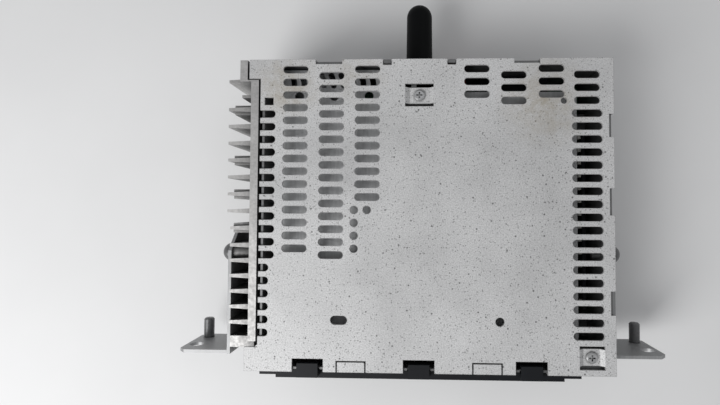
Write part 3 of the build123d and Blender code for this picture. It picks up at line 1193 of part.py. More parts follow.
pivot_rear = ROLLER_PIVOT_Y + PIVOT_LUG_HALF
pivot_top = ROLLER_PIVOT_Z + LUG_EDGE
lug_left = ARM_LEFT - LUG_GAP
lugs = [
    box(lug_left - LUG_T, lug_left, pivot_front, pivot_rear, BASE_Z, pivot_top),
    box(lug_x0, lug_x1, pivot_front, pivot_rear, BASE_Z, pivot_top),
    box(worm_x - LOADING_LUG_HALF, wall_in, LOADING_MOTOR_Y - LUG_T, LOADING_MOTOR_Y,
        worm_z - PIVOT_LUG_HALF, base_top),
    box(SLED_MOTOR_X - LUG_T, SLED_MOTOR_X, SCREW_Y - SLED_LUG_HALF, SCREW_Y + SLED_LUG_HALF,
        SCREW_Z - SLED_LUG_HALF, base_top),
    box(DECK_LEFT, wall_left, SCREW_Y - LUG_EDGE, SCREW_Y + LUG_EDGE, SCREW_Z - LUG_EDGE, base_top),
]
for side in (-1, 1):
    y = DISC_Y + side * ROD_SPREAD
    for x0, x1 in ((DECK_LEFT, wall_left), (SLED_MOTOR_X - LUG_T, SLED_MOTOR_X)):
        lugs.append(box(x0, x1, y - ROD_LUG_HALF, y + ROD_LUG_HALF, ROD_Z - LUG_EDGE, base_top))
    base_cuts.append(rod_x(ROD_R, DECK_LEFT - 1, SLED_MOTOR_X + 1, y, ROD_Z))
base_cuts += [
    rod_x(ROLLER_ROD_R + RUN_GAP, lug_left - LUG_T - 1, (lug_x1 + slider_x0) / 2,
          ROLLER_PIVOT_Y, ROLLER_PIVOT_Z),
    rod_y(LOADING_BOSS_R, worm_x, LOADING_MOTOR_Y - LUG_T - 1, LOADING_MOTOR_Y + 1, worm_z),
    rod_x(SCREW_R + SCREW_BOSS, SLED_MOTOR_X - LUG_T - 1, SLED_MOTOR_X + 1, SCREW_Y, SCREW_Z),
    rod_x(SCREW_CORE_R + RUN_GAP, DECK_LEFT - 1, wall_left + 1, SCREW_Y, SCREW_Z),
]
deck_base = cut(joined(base), windows)
deck_base = cut(joined([deck_base] + lugs), base_cuts)
save("deck_base", deck_base)

# Deck cover, with a tail that has curved openings, and lugs for the clamp arm
cover_lug_half = CLAMP_HALF + CLAMP_LUG_GAP
clamp_lug = (CLAMP_PIVOT_Y - LUG_EDGE, CLAMP_PIVOT_Y + LUG_EDGE, CLAMP_PIVOT_Z - LUG_EDGE, lid_z)
deck_cover = joined([
    box(DECK_LEFT, DECK_RIGHT, DECK_FRONT, DECK_REAR, lid_z, DECK_TOP),
    box(DECK_LEFT, -LID_TAIL_RIGHT, DECK_REAR - 1, DECK_REAR + LID_TAIL, lid_z, DECK_TOP),
    box(DECK_X - cover_lug_half - LUG_T, DECK_X - cover_lug_half, *clamp_lug),
    box(DECK_X + cover_lug_half, DECK_X + cover_lug_half + LUG_T, *clamp_lug),
])
pivot_half = cover_lug_half + LUG_T + 1
pivot_bore = PIVOT_R + RUN_GAP
cover_cuts = [rod_x(pivot_bore, DECK_X - pivot_half, DECK_X + pivot_half, CLAMP_PIVOT_Y, CLAMP_PIVOT_Z)]
for k in range(ARC_COUNT):
    x = DECK_LEFT + ARC_FIRST_IN + k * ARC_STEP
    arc = CenterArc((x - ARC_R, DECK_REAR + ARC_REAR), ARC_R, 0, ARC_SWEEP)
    cover_cuts.append(Pos(0, 0, lid_z - 1) * extrude(SlotArc(arc, ARC_WIDTH), 3))
pocket_half = POCKET_L / 2 + 1
cover_cuts.append(box(-pocket_half, pocket_half, REAR_SCREW_Y - POCKET_D / 2 - POCKET_SLOT - 1, DECK_REAR + 1,
                      lid_z - 1, DECK_TOP + 1))
for x in LEFT_VENTS:
    cover_cuts.append(rod_z(LID_HOLE_R, x, DECK_REAR - LID_HOLE_IN, lid_z - 1, DECK_TOP + 1))
deck_cover = cut(deck_cover, cover_cuts)
save("deck_cover", deck_cover)

dampers = []
damper_screws = []
for x in (DAMPER_LEFT_X, DAMPER_RIGHT_X):
    for y in DAMPER_Y:
        shank = rod_z(DECK_SCREW_R, x, y, LEDGE_Z - SHEET, base_top)
        dampers.append(rod_z(DAMPER_R, x, y, LEDGE_Z, BASE_Z) - shank)
        damper_screws.append(shank + rod_z(DECK_HEAD_R, x, y, base_top, base_top + DECK_HEAD_H))
save("deck_dampers", dampers)
save("deck_screws", damper_screws)

# Spindle motor and turntable
boss_top = base_top + MOTOR_BOSS_H
spindle_foot = BASE_Z - SPINDLE_MOTOR_H + SHAFT_END
spindle_motor = rod_z(SPINDLE_MOTOR_R, DECK_X, DISC_Y, BASE_Z - SPINDLE_MOTOR_H, BASE_Z)
spindle_motor += rod_z(MOTOR_BOSS_R, DECK_X, DISC_Y, BASE_Z, boss_top)
spindle_motor -= rod_z(SPINDLE_R + RUN_GAP, DECK_X, DISC_Y, spindle_foot - RUN_END, boss_top + 1)
save("spindle_motor", spindle_motor)
turntable = rod_z(FLANGE_R, DECK_X, DISC_Y, disc_under - PLATTER_T, disc_under)
centre = rod_z(CENTRE_R, DECK_X, DISC_Y, disc_under, disc_under + CENTRE_H)
turntable += chamfer(centre.faces().sort_by(Axis.Z)[-1].edges(), CENTRE_EDGE)
turntable += rod_z(HUB_R, DECK_X, DISC_Y, boss_top + HUB_GAP, disc_under - PLATTER_T)
turntable += rod_z(SPINDLE_R, DECK_X, DISC_Y, spindle_foot, boss_top + HUB_GAP)
save("turntable", turntable)

# Clamp arm and puck
clamp_top = CLAMP_Z + CLAMP_T
pin_z = CLAMP_Z + CLAMP_T / 2
pivot_end = DECK_X + cover_lug_half + LUG_T
clamp_arm = joined([
    box(DECK_X - CLAMP_HALF, DECK_X + CLAMP_HALF, DISC_Y - CLAMP_HALF, CLAMP_PIVOT_Y, CLAMP_Z, clamp_top),
    box(DECK_X + CLAMP_HALF - 1, slider_x0 - PIN_SIDE_GAP,
        CLAMP_PIN_Y - CLAMP_PIN_ROOT, CLAMP_PIN_Y + CLAMP_PIN_ROOT, CLAMP_Z, clamp_top),
    rod_x(PIVOT_R, 2 * DECK_X - pivot_end, pivot_end, CLAMP_PIVOT_Y, CLAMP_PIVOT_Z),
    rod_x(PIVOT_R + CLAMP_BEAD, DECK_X - CLAMP_HALF, DECK_X + CLAMP_HALF, CLAMP_PIVOT_Y, CLAMP_PIVOT_Z),
    rod_x(FOLLOWER_R, slider_x0 - 3 * PIN_SIDE_GAP, slider_x1 - PIN_END_GAP, CLAMP_PIN_Y, pin_z),
])
clamp_arm -= rod_z(PUCK_NECK_R + PUCK_NECK_GAP, DECK_X, DISC_Y, CLAMP_Z - 2, CLAMP_Z + 3)
save("clamp_arm", clamp_arm)
puck_z = disc_over + PUCK_LIFT
puck = rod_z(PUCK_R, DECK_X, DISC_Y, puck_z, puck_z + PUCK_T)
cap_z = clamp_top + PUCK_PLAY
puck += rod_z(PUCK_NECK_R, DECK_X, DISC_Y, puck_z + PUCK_T, cap_z)
puck += rod_z(PUCK_CAP_R, DECK_X, DISC_Y, cap_z, cap_z + PUCK_CAP_T)
puck -= rod_z(CENTRE_R + PUCK_SEAT_GAP, DECK_X, DISC_Y, puck_z - 1, puck_z + PUCK_SEAT)
save("clamp_puck", puck)

# Roller arm, roller, gears, worm and motor
roller_arm = rod_x(ROLLER_ROD_R, lug_left - LUG_T, lug_x1, ROLLER_PIVOT_Y, ROLLER_PIVOT_Z)
roller_arm += rod_x(ROLLER_TUBE_R, ARM_LEFT + ARM_T, ARM_RIGHT - ARM_T, ROLLER_PIVOT_Y, ROLLER_PIVOT_Z)
pin_y = ROLLER_PIVOT_Y + ROLLER_PIN_REACH
plate_front = roller_y - SHAFT_R - ARM_EDGE
plate_rear = pin_y + FOLLOWER_R + ARM_EDGE
side_plate = [
    (plate_front, roller_z - ARM_HALF),
    (ROLLER_PIVOT_Y, ROLLER_PIVOT_Z - ARM_HALF - ARM_BULGE),
    (plate_rear, ROLLER_PIVOT_Z - ARM_HALF),
    (plate_rear, ROLLER_PIVOT_Z + ARM_HALF),
    (ROLLER_PIVOT_Y, ROLLER_PIVOT_Z + ARM_HALF + 2 * ARM_BULGE),
    (plate_front, roller_z + ARM_HALF),
]
roller_arm += plate_yz(side_plate, ARM_LEFT, ARM_LEFT + ARM_T)
roller_arm += plate_yz(side_plate, ARM_RIGHT - ARM_T, ARM_RIGHT)
roller_arm += rod_x(FOLLOWER_R, ARM_RIGHT, slider_x1 - PIN_END_GAP, pin_y, ROLLER_PIVOT_Z)
roller_arm -= rod_x(SHAFT_R + RUN_GAP, ARM_LEFT - 1, ARM_RIGHT + 1, roller_y, roller_z)
save("roller_arm", roller_arm)

mesh_angle = math.degrees(math.atan2(roller_rise, roller_y - ROLLER_PIVOT_Y))
save("roller_shaft", rod_x(SHAFT_R, ARM_LEFT, gear_x1, roller_y, roller_z))
roller_x0 = ARM_LEFT + ARM_T + GEAR_GAP
roller_x1 = ARM_RIGHT - ARM_T - GEAR_GAP
rubber = rod_x(ROLLER_R, roller_x0, roller_x1, roller_y, roller_z)
save("rubber_roller", rubber - rod_x(SHAFT_R, roller_x0 - 1, roller_x1 + 1, roller_y, roller_z))
save("roller_gear", gear(ROLLER_TEETH, MODULE, gear_x0, gear_x1, roller_y, roller_z,
                         mesh_angle + 180, SHAFT_R))
idler_turn = mesh_angle + 180.0 / IDLER_TEETH
idler_bore = ROLLER_ROD_R + RUN_GAP
save("idler_gear", gear(IDLER_TEETH, MODULE, gear_x0, gear_x1, ROLLER_PIVOT_Y, ROLLER_PIVOT_Z,
                        idler_turn, idler_bore))


def threaded_rod(core_r, outer_r, length, turns):
    """A core along Z with a square thread of the given number of turns, from z 0."""
    lead = length / turns
    half = lead / 4
    path = Helix(lead, length - 2 * half, (core_r + outer_r) / 2)
    depth = outer_r - core_r
    start = path @ 0
    corners = []
    inner = -depth / 2 - THREAD_ROOT
    for radial, along in ((inner, -half), (depth / 2, -half), (depth / 2, half), (inner, half)):
        corners.append((start.X + radial, start.Y, start.Z + along))
    face = make_face(Polyline(*corners, close=True))
    thread = sweep(face, path=path, is_frenet=True)
    return Cylinder(core_r, length, align=(Align.CENTER, Align.CENTER, Align.MIN)) + Pos(0, 0, half) * thread


worm_start = ROLLER_PIVOT_Y - WORM_L / 2
worm = threaded_rod(WORM_CORE_R, WORM_R, WORM_L, WORM_TURNS)
worm = Pos(worm_x, worm_start, worm_z) * Rot(-90, 0, 0) * worm
worm += rod_y(WORM_SHAFT_R, worm_x, worm_start, LOADING_MOTOR_Y + SHAFT_DEPTH, worm_z)
save("worm", worm)
loading_motor = rod_y(LOADING_MOTOR_R, worm_x, LOADING_MOTOR_Y, LOADING_MOTOR_Y + LOADING_MOTOR_L, worm_z)
loading_motor += rod_y(LOADING_BOSS_R, worm_x, LOADING_MOTOR_Y - LUG_T, LOADING_MOTOR_Y, worm_z)
loading_motor -= rod_y(WORM_SHAFT_R + RUN_GAP, worm_x, LOADING_MOTOR_Y - LUG_T - 1,
                       LOADING_MOTOR_Y + SHAFT_DEPTH + 2 * RUN_END, worm_z)
save("loading_motor", loading_motor)

# Sled with its lens, rods, screw and motor
sled = box(SLED_X - SLED_L / 2, SLED_X + SLED_L / 2, DISC_Y - SLED_D / 2, DISC_Y + SLED_D / 2,
           SLED_Z, SLED_Z + SLED_H)
sled += box(SLED_X - NUT_HALF, SLED_X + NUT_HALF, SCREW_Y - SCREW_R - NUT_WALL, DISC_Y - SLED_D / 2 + 1,
            SCREW_Z - SCREW_R - NUT_WALL, SLED_Z + NUT_HALF)
for side in (-1, 1):
    y = DISC_Y + side * ROD_SPREAD
    sled -= rod_x(ROD_R + RUN_GAP, SLED_X - SLED_L, SLED_X + SLED_L, y, ROD_Z)
sled -= rod_x(SCREW_R + RUN_GAP, SLED_X - SLED_L, SLED_X + SLED_L, SCREW_Y, SCREW_Z)
save("sled", sled)
save("pickup_lens", rod_z(LENS_R, SLED_X, DISC_Y, SLED_Z + SLED_H, SLED_Z + SLED_H + LENS_H))
rod_ys = (DISC_Y - ROD_SPREAD, DISC_Y + ROD_SPREAD)
save("guide_rods", [rod_x(ROD_R, DECK_LEFT, SLED_MOTOR_X, y, ROD_Z) for y in rod_ys])
screw_start = DECK_LEFT + DECK_SHEET + RUN_END
screw_end = SLED_MOTOR_X - LUG_T - RUN_END
lead_screw = threaded_rod(SCREW_CORE_R, SCREW_R, screw_end - screw_start, SCREW_TURNS)
lead_screw = Pos(screw_start, SCREW_Y, SCREW_Z) * Rot(0, 90, 0) * lead_screw
lead_screw += rod_x(SCREW_CORE_R, DECK_LEFT, screw_start, SCREW_Y, SCREW_Z)
lead_screw += rod_x(WORM_SHAFT_R, screw_end, SLED_MOTOR_X + SHAFT_DEPTH, SCREW_Y, SCREW_Z)
save("lead_screw", lead_screw)
sled_motor = rod_x(SLED_MOTOR_R, SLED_MOTOR_X, SLED_MOTOR_X + SLED_MOTOR_L, SCREW_Y, SCREW_Z)
sled_motor += rod_x(SCREW_R + SCREW_BOSS, SLED_MOTOR_X - LUG_T, SLED_MOTOR_X, SCREW_Y, SCREW_Z)
sled_motor -= rod_x(WORM_SHAFT_R + RUN_GAP, SLED_MOTOR_X - LUG_T - 1,
                    SLED_MOTOR_X + SHAFT_DEPTH + 2 * RUN_END, SCREW_Y, SCREW_Z)
save("sled_motor", sled_motor)

# Cam slider: it lowers the clamp arm and the roller arm as it moves to the rear
slider = box(slider_x0, slider_x1, ROLLER_PIVOT_Y - SLIDER_FRONT_L, CLAMP_PIN_Y + SLIDER_REAR_L,
             base_top + SLIDE_GAP, lid_z - SLIDE_GAP)


def cam_slot(y, z, rise):
    """The way of a follower pin through the slider, from its place at rest."""
    r = FOLLOWER_R + PIN_CLEAR
    over = PIN_CLEAR
    path = [(y + over, z), (y - SLIDER_TRAVEL - over, z + rise)]
    way = strip_yz(path, 2 * r, slider_x0 - 1, slider_x1 + 1)
    ends = [rod_x(r, slider_x0 - 1, slider_x1 + 1, py, pz) for py, pz in path]
    return [way] + ends


clamp_fall = (CLAMP_PIVOT_Y - CLAMP_PIN_Y) * math.sin(math.radians(CLAMP_SWING))
pin_lift = ROLLER_PIN_REACH * math.sin(math.radians(ROLLER_DROP))
slider = cut(slider, cam_slot(CLAMP_PIN_Y, pin_z, -clamp_fall) + cam_slot(pin_y, ROLLER_PIVOT_Z, pin_lift))
save("cam_slider", slider)

# Guide over the disc's way in
guide_z = disc_over + GUIDE_GAP
guide_left = DECK_LEFT + GUIDE_IN
guide_right = DECK_RIGHT - GUIDE_IN
guide = box(guide_left, guide_right, DECK_FRONT, DECK_FRONT + GUIDE_D, guide_z, guide_z + GUIDE_T)
for k in range(GUIDE_RIBS):
    x = DECK_X + (k - (GUIDE_RIBS - 1) / 2) * (guide_right - guide_left) / GUIDE_RIBS
    guide += box(x - RIB_T / 2, x + RIB_T / 2, DECK_FRONT, DECK_FRONT + GUIDE_D, guide_z + GUIDE_T, lid_z)
save("disc_guide", guide)

# Flat ribbon from the deck to the main board
ribbon_y = DECK_REAR - RIBBON_IN
plug_y = ribbon_y + RIBBON_PLUG
ribbon_line = [(ribbon_y, BASE_Z - RIBBON_T / 2), (ribbon_y + RIBBON_FLAT, BASE_Z - RIBBON_T / 2)]
ribbon_line += [(plug_y + out, BASE_Z - down) for out, down in RIBBON_BENDS]
ribbon_line += [(plug_y, BOARD_TOP + RIBBON_PLUG_H), (plug_y, BOARD_TOP)]
ribbon_x = DECK_X + RIBBON_RIGHT
save("deck_ribbon", strip_yz(ribbon_line, RIBBON_T, ribbon_x, ribbon_x + RIBBON_W))
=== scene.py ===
# %% [markdown]
# # Dressing a bare car CD player
#
# The player's solids come from its CAD model, with every piece at its real size. This lesson gives them
# their finishes: galvanised sheet, cast aluminium, black plastic, rubber and felt. It also models the two
# soft kinds of piece that a CAD solid can't show well, the rubber boot and the felt in the disc slot.
# Everything is in metres, in the CAD model's own frame: +X is the unit's right, +Y its rear, +Z up.

# %% Load the frame
import math

import bmesh
import bpy
from mathutils import Matrix, Vector


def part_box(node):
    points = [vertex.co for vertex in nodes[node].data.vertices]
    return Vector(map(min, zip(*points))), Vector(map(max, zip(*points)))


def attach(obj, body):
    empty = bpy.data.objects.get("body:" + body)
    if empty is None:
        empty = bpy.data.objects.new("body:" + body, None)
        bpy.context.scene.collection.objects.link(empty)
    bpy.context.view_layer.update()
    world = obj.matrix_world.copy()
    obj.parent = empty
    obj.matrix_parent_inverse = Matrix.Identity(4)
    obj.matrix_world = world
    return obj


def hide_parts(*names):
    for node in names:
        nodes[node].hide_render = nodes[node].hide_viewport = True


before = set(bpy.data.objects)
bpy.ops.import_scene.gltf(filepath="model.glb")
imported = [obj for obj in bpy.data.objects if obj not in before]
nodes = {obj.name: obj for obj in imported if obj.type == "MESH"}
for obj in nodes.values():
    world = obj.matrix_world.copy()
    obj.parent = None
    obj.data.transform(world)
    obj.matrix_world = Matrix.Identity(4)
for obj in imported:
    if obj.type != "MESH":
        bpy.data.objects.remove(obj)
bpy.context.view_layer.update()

MM = 0.001

# %% [markdown]
# ## A small helper for node materials
#
# Every finish here is built from the same few nodes: object coordinates, a noise or cell texture, a
# colour ramp, and a bump. A helper that adds a node and links its inputs keeps each material short enough
# to read. Object coordinates are in metres and don't stretch, so a speckle of one millimetre stays one
# millimetre. Two of its methods look at the shape itself. Ambient occlusion finds the recesses, where one
# of them paints shade into the colour. The bevel node finds the edges, because there its rounded normal
# differs from the true one. Neither needs extra geometry.

# %% Material helper
# The colour sockets of the mix node, which has others of the same name for numbers and vectors
MIX_A = 6
MIX_B = 7
MIX_RESULT = 2
HOLLOW_SAMPLES = 8
HOLLOW_DEEP = 0.35      # the open share of the sky at which a hollow is darkest
HOLLOW_OPEN = 0.95      # the share at which it ends
EDGE_SAMPLES = 4


class Finish:
    """A material under construction, with a short way to add linked nodes."""

    def __init__(self, name):
        self.material = bpy.data.materials.new(name)
        self.material.use_nodes = True
        self.tree = self.material.node_tree
        self.shader = self.tree.nodes["Principled BSDF"]
        self.place = self.tree.nodes.new("ShaderNodeTexCoord").outputs["Object"]

    def feed(self, socket, value):
        """Links a socket to a node's output, or sets it to a number, a place or a colour."""
        if isinstance(value, bpy.types.NodeSocket):
            self.tree.links.new(value, socket)
        elif socket.type == "RGBA":
            socket.default_value = (*value, 1.0)
        else:
            socket.default_value = value

    def add(self, kind, **settings):
        """Adds a node; a setting that names an input goes to that input."""
        node = self.tree.nodes.new(kind)
        for key, value in settings.items():
            socket = node.inputs.get(key.replace("_", " "))
            if socket is None:
                setattr(node, key, value)
            else:
                self.feed(socket, value)
        return node

    def noise(self, scale, detail=4.0, roughness=0.5, place=None):
        """Cloudy noise between 0 and 1; scale is in cells per metre."""
        node = self.add("ShaderNodeTexNoise", Vector=place or self.place, Scale=scale, Detail=detail,
                        Roughness=roughness)
        return node.outputs["Fac"]

    def cells(self, scale):
        """Distance to the nearest of many scattered points; scale is in cells per metre."""
        return self.add("ShaderNodeTexVoronoi", Vector=self.place, Scale=scale).outputs["Distance"]

    def stretch(self, x, y, z):
        """Object coordinates, stretched by a factor along each axis."""
        return self.add("ShaderNodeMapping", Vector=self.place, Scale=(x, y, z)).outputs["Vector"]

    def ramp(self, value, *stops):
        """Maps a value to colours; each stop is (position, colour)."""
        node = self.add("ShaderNodeValToRGB", Fac=value)
        elements = node.color_ramp.elements
        while len(elements) < len(stops):
            elements.new(0.5)
        for element, (position, colour) in zip(elements, stops):
            element.position = position
            element.color = (*colour, 1.0)
        return node.outputs["Color"]

    def levels(self, value, low, high, out_low=0.0, out_high=1.0):
        """Maps a value from one range to another, clamped."""
        node = self.add("ShaderNodeMapRange", Value=value, From_Min=low, From_Max=high, To_Min=out_low,
                        To_Max=out_high)
        return node.outputs["Result"]

    def math(self, operation, a, b, kind="ShaderNodeMath"):
        """One sum, product or other operation on two values."""
        node = self.add(kind, operation=operation)
        self.feed(node.inputs[0], a)
        self.feed(node.inputs[1], b)
        return node.outputs["Value"]

    def vector_math(self, operation, a, b):
        """An operation on two vectors that gives a number, such as their distance."""
        return self.math(operation, a, b, kind="ShaderNodeVectorMath")

    def mix(self, factor, a, b):
        """Mixes two colours."""
        node = self.add("ShaderNodeMix", data_type="RGBA", Factor=factor)
        self.feed(node.inputs[MIX_A], a)
        self.feed(node.inputs[MIX_B], b)
        return node.outputs[MIX_RESULT]

    def paint_hollow_shade(self, base, reach, dark, depth):
        """Paints shade into corners and recesses: darkens the colour where little of the sky is open."""
        node = self.add("ShaderNodeAmbientOcclusion", samples=HOLLOW_SAMPLES, Distance=reach)
        return self.mix(self.levels(node.outputs["AO"], HOLLOW_DEEP, HOLLOW_OPEN, depth, 0.0), base, dark)

    def edges(self, radius, low, high):
        """Finds sharp edges: near one, a rounded normal differs from the true one."""
        rounded_normal = self.add("ShaderNodeBevel", samples=EDGE_SAMPLES, Radius=radius).outputs["Normal"]
        true_normal = self.add("ShaderNodeNewGeometry").outputs["Normal"]
        likeness = self.vector_math("DOT_PRODUCT", rounded_normal, true_normal)
        return self.levels(likeness, low, high, 1.0, 0.0)

    def bump(self, height, distance, strength):
        """Raises the surface where height is large; distance is in metres."""
        node = self.add("ShaderNodeBump", Height=height, Distance=distance, Strength=strength)
        self.set("Normal", node.outputs["Normal"])

    def colour(self, value):
        self.set("Base Color", value)

    def rough(self, value):
        self.set("Roughness", value)

    def metal(self, value):
        self.set("Metallic", value)

    def set(self, name, value):
        """Sets or links one of the shader's own inputs."""
        self.feed(self.shader.inputs[name], value)


def grey(value, blue=0.0):
    """A grey with a slight blue or, when negative, a warm tint."""
    return (value * (1 - blue), value, value * (1 + blue))


print("The finish helper is ready")

# %% [markdown]
# ## Galvanised cover
#
# The cover is zinc-coated sheet. Close up, it is a pale grey with many small dark pits and a few larger
# ones, faint clouds of a darker tone, and three brownish smudges where it was handled. Its colour is also
# darkened along every edge and at the vents, as painted shade. A smooth mirror metal would show only the
# sky, so the metal is kept fairly rough and most of the look comes from the base colour. The pits are
# cells cut off near their centres and thinned out by a noise, and the smudges are placed by their
# distance from three spots on the cover.

# %% Cover zinc and pits
SMALL_PITS = 820.0      # cells per metre
LARGE_PITS = 330.0
cover = Finish("galvanised cover")
cloud = cover.noise(22.0, detail=5.0, roughness=0.6)
base = cover.ramp(cloud, (0.30, grey(0.55)), (0.52, grey(0.65)), (0.75, grey(0.73)))
fine = cover.noise(1700.0, detail=3.0, roughness=0.7)
base = cover.mix(cover.levels(fine, 0.42, 0.62, 0.0, 0.50), base, grey(0.28))


def pits_in_patches(scale, near, far, patches, patch_from, depth):
    """Pits of one size, which a noise leaves only in patches; both scales are in cells per metre."""
    spots = cover.levels(cover.cells(scale), near, far, 1.0, 0.0)
    patch = cover.levels(cover.noise(patches, detail=1.0), patch_from, 0.54)
    return cover.math("MULTIPLY", cover.math("MULTIPLY", spots, patch), depth)


small = pits_in_patches(SMALL_PITS, 0.14, 0.30, patches=520.0, patch_from=0.42, depth=0.75)
large = pits_in_patches(LARGE_PITS, 0.10, 0.17, patches=190.0, patch_from=0.47, depth=0.88)
pits = cover.math("MAXIMUM", small, large)
base = cover.mix(pits, base, grey(0.10))
print("Pit cells per metre:", SMALL_PITS, "small,", LARGE_PITS, "large")

# %% Cover smudges and edges
COVER_TOP = 0.050
SMUDGE_TONE = (0.36, 0.32, 0.25)
# Each smudge: x, y, reach, depth
SMUDGES = ((-0.062, 0.060, 0.018, 0.55), (0.058, 0.052, 0.024, 0.50), (-0.030, 0.066, 0.018, 0.25))
grime = cover.noise(160.0, detail=6.0, roughness=0.7)
for x, y, reach, depth in SMUDGES:
    distance = cover.vector_math("DISTANCE", cover.place, (x, y, COVER_TOP))
    near = cover.levels(distance, 0.0, reach, depth, 0.0)
    spread = cover.math("MULTIPLY", near, cover.levels(grime, 0.38, 0.62, 0.2, 1.6))
    base = cover.mix(spread, base, SMUDGE_TONE)
# Painted shade: the colour darkens along every edge and, by ambient occlusion, at the walls of the vents.
EDGE_SHADE_REACH = 0.0004
VENT_SHADE_REACH = 0.0012
edge_shade = cover.math("MULTIPLY", cover.edges(EDGE_SHADE_REACH, 0.80, 0.98), 0.75)
base = cover.mix(edge_shade, base, grey(0.10))
cover.colour(cover.paint_hollow_shade(base, VENT_SHADE_REACH, grey(0.05), 0.8))
cover.metal(0.25)
cover.rough(cover.levels(cloud, 0.3, 0.7, 0.50, 0.62))
height = cover.math("SUBTRACT", cover.math("MULTIPLY", fine, 0.25), pits)
cover.bump(height, 0.00004, 0.6)
print("Cover smudges:", len(SMUDGES))

# %% [markdown]
# ## Inner steel, screws and pins
#
# The frame, the brackets and the deck are the same zinc-coated sheet, but duller and darker, with faint
# rolling marks along one direction. Stretched noise gives those marks: the object coordinates are
# squeezed along the sheet, so that each cell becomes a long streak. The frame's much darker tone is
# painted shade, and every steel is darkened in its seams and recesses as painted shade. Most screws and
# shafts are brighter. The bracket screws and the locating pins are darker and duller than the others.

# %% Steel finishes
ALONG_X = (0.15, 1.0, 1.0)
ALONG_Y = (1.0, 0.15, 1.0)
LONGER_ALONG_Y = (1.0, 0.12, 1.0)
NO_STREAK = (1.0, 1.0, 1.0)
SEAM_SHADE_REACH = 0.0008


def rolled_steel(name, tone, metal, rough, streak=ALONG_X):
    """Zinc-coated sheet with faint rolling marks, a fine grain, and painted shade in its seams."""
    steel = Finish(name)
    marks = steel.noise(900.0, detail=3.0, place=steel.stretch(*streak))
    stain = steel.noise(45.0, detail=5.0, roughness=0.65)
    base = steel.ramp(marks, (0.30, grey(tone * 0.84, 0.01)), (0.70, grey(tone * 1.08, 0.01)))
    base = steel.mix(steel.levels(stain, 0.48, 0.72, 0.0, 0.35), base, grey(tone * 0.62, -0.04))
    # Painted shade: the colour is darkened in seams and recesses, such as the screws' cross slots.
    steel.colour(steel.paint_hollow_shade(base, SEAM_SHADE_REACH, grey(0.03), 0.85))
    steel.metal(metal)
    steel.rough(steel.levels(marks, 0.3, 0.7, rough - 0.06, rough + 0.06))
    steel.bump(marks, 0.00003, 0.5)
    return steel.material


# The frame's low tone is painted shade, for its edge in the gap between the cover and the heat sink.
frame_steel_with_painted_shade = rolled_steel("frame steel darkened as shade", 0.20, 0.60, 0.45)
bracket_steel = rolled_steel("bracket steel", 0.38, 0.60, 0.48, streak=ALONG_Y)
deck_steel = rolled_steel("deck steel", 0.56, 0.25, 0.55, streak=LONGER_ALONG_Y)
screw_steel = rolled_steel("screw steel", 0.58, 0.75, 0.34, streak=NO_STREAK)
# Darker and duller than the other screws and shafts.
dull_dark_steel = rolled_steel("dull dark steel", 0.17, 0.55, 0.42, streak=NO_STREAK)
tin = rolled_steel("tinned can", 0.66, 0.85, 0.34)
print("Steel finishes: frame, brackets, deck, screws, worn screws and pins, tinned cans")

# %% [markdown]
# ## Cast heat sink
#
# Die-cast aluminium is dull and slightly grainy, with a soft cloudy tone and brighter edges where the
# fins were handled or machined. The gaps between the fins are darkened as painted shade. The edges
# helper and the painted-shade helper find those places on every fin at once, which painting each fin by
# hand wouldn't.

# %% Aluminium finish
WORN_EDGE = 0.00035
FIN_SHADE_REACH = 0.010
cast = Finish("cast aluminium")
grain = cast.noise(700.0, detail=4.0)
cloud = cast.noise(60.0, detail=5.0)
base = cast.ramp(cloud, (0.3, grey(0.46, -0.018)), (0.7, grey(0.60, -0.015)))
base = cast.mix(cast.levels(grain, 0.35, 0.65, 0.0, 0.45), base, grey(0.26, -0.01))
edge = cast.edges(WORN_EDGE, 0.86, 0.99)
base = cast.mix(cast.math("MULTIPLY", edge, 0.5), base, grey(0.66))
# Painted shade: the colour darkens in the gaps between the fins.
cast.colour(cast.paint_hollow_shade(base, FIN_SHADE_REACH, grey(0.08), 0.9))
cast.metal(0.6)
cast.rough(cast.levels(grain, 0.3, 0.7, 0.40, 0.58))
cast.bump(grain, 0.00006, 0.6)
print("Aluminium finish ready")

# %% [markdown]
# ## Plastics, rubber and felt
#
# The front panel is black moulded plastic with a fine spark-eroded grain, which is a small bump rather
# than a colour. Its gloss is held low, and so is the rubber boot's, which is blacker still with a coarser
# grain and hardly any dust. Felt is almost black, very rough, and has a short nap.

# %% Plastic and rubber finishes
def moulded(name, colour, rough, grain_size=0.00012, grain_height=0.00002, dust=0.10, shine=0.5):
    """Moulded plastic with a fine grain and a trace of dust."""
    plastic = Finish(name)
    grain = plastic.noise(0.5 / grain_size, detail=2.0)
    cloud = plastic.noise(70.0, detail=5.0, roughness=0.65)
    pale = tuple(min(1.0, c * 0.7 + 0.16) for c in colour)
    plastic.colour(plastic.mix(plastic.levels(cloud, 0.52, 0.80, 0.0, dust), colour, pale))
    plastic.rough(plastic.levels(grain, 0.3, 0.7, rough - 0.05, rough + 0.05))
    plastic.bump(grain, grain_height, 0.6)
    plastic.set("Specular IOR Level", shine)
    return plastic.material


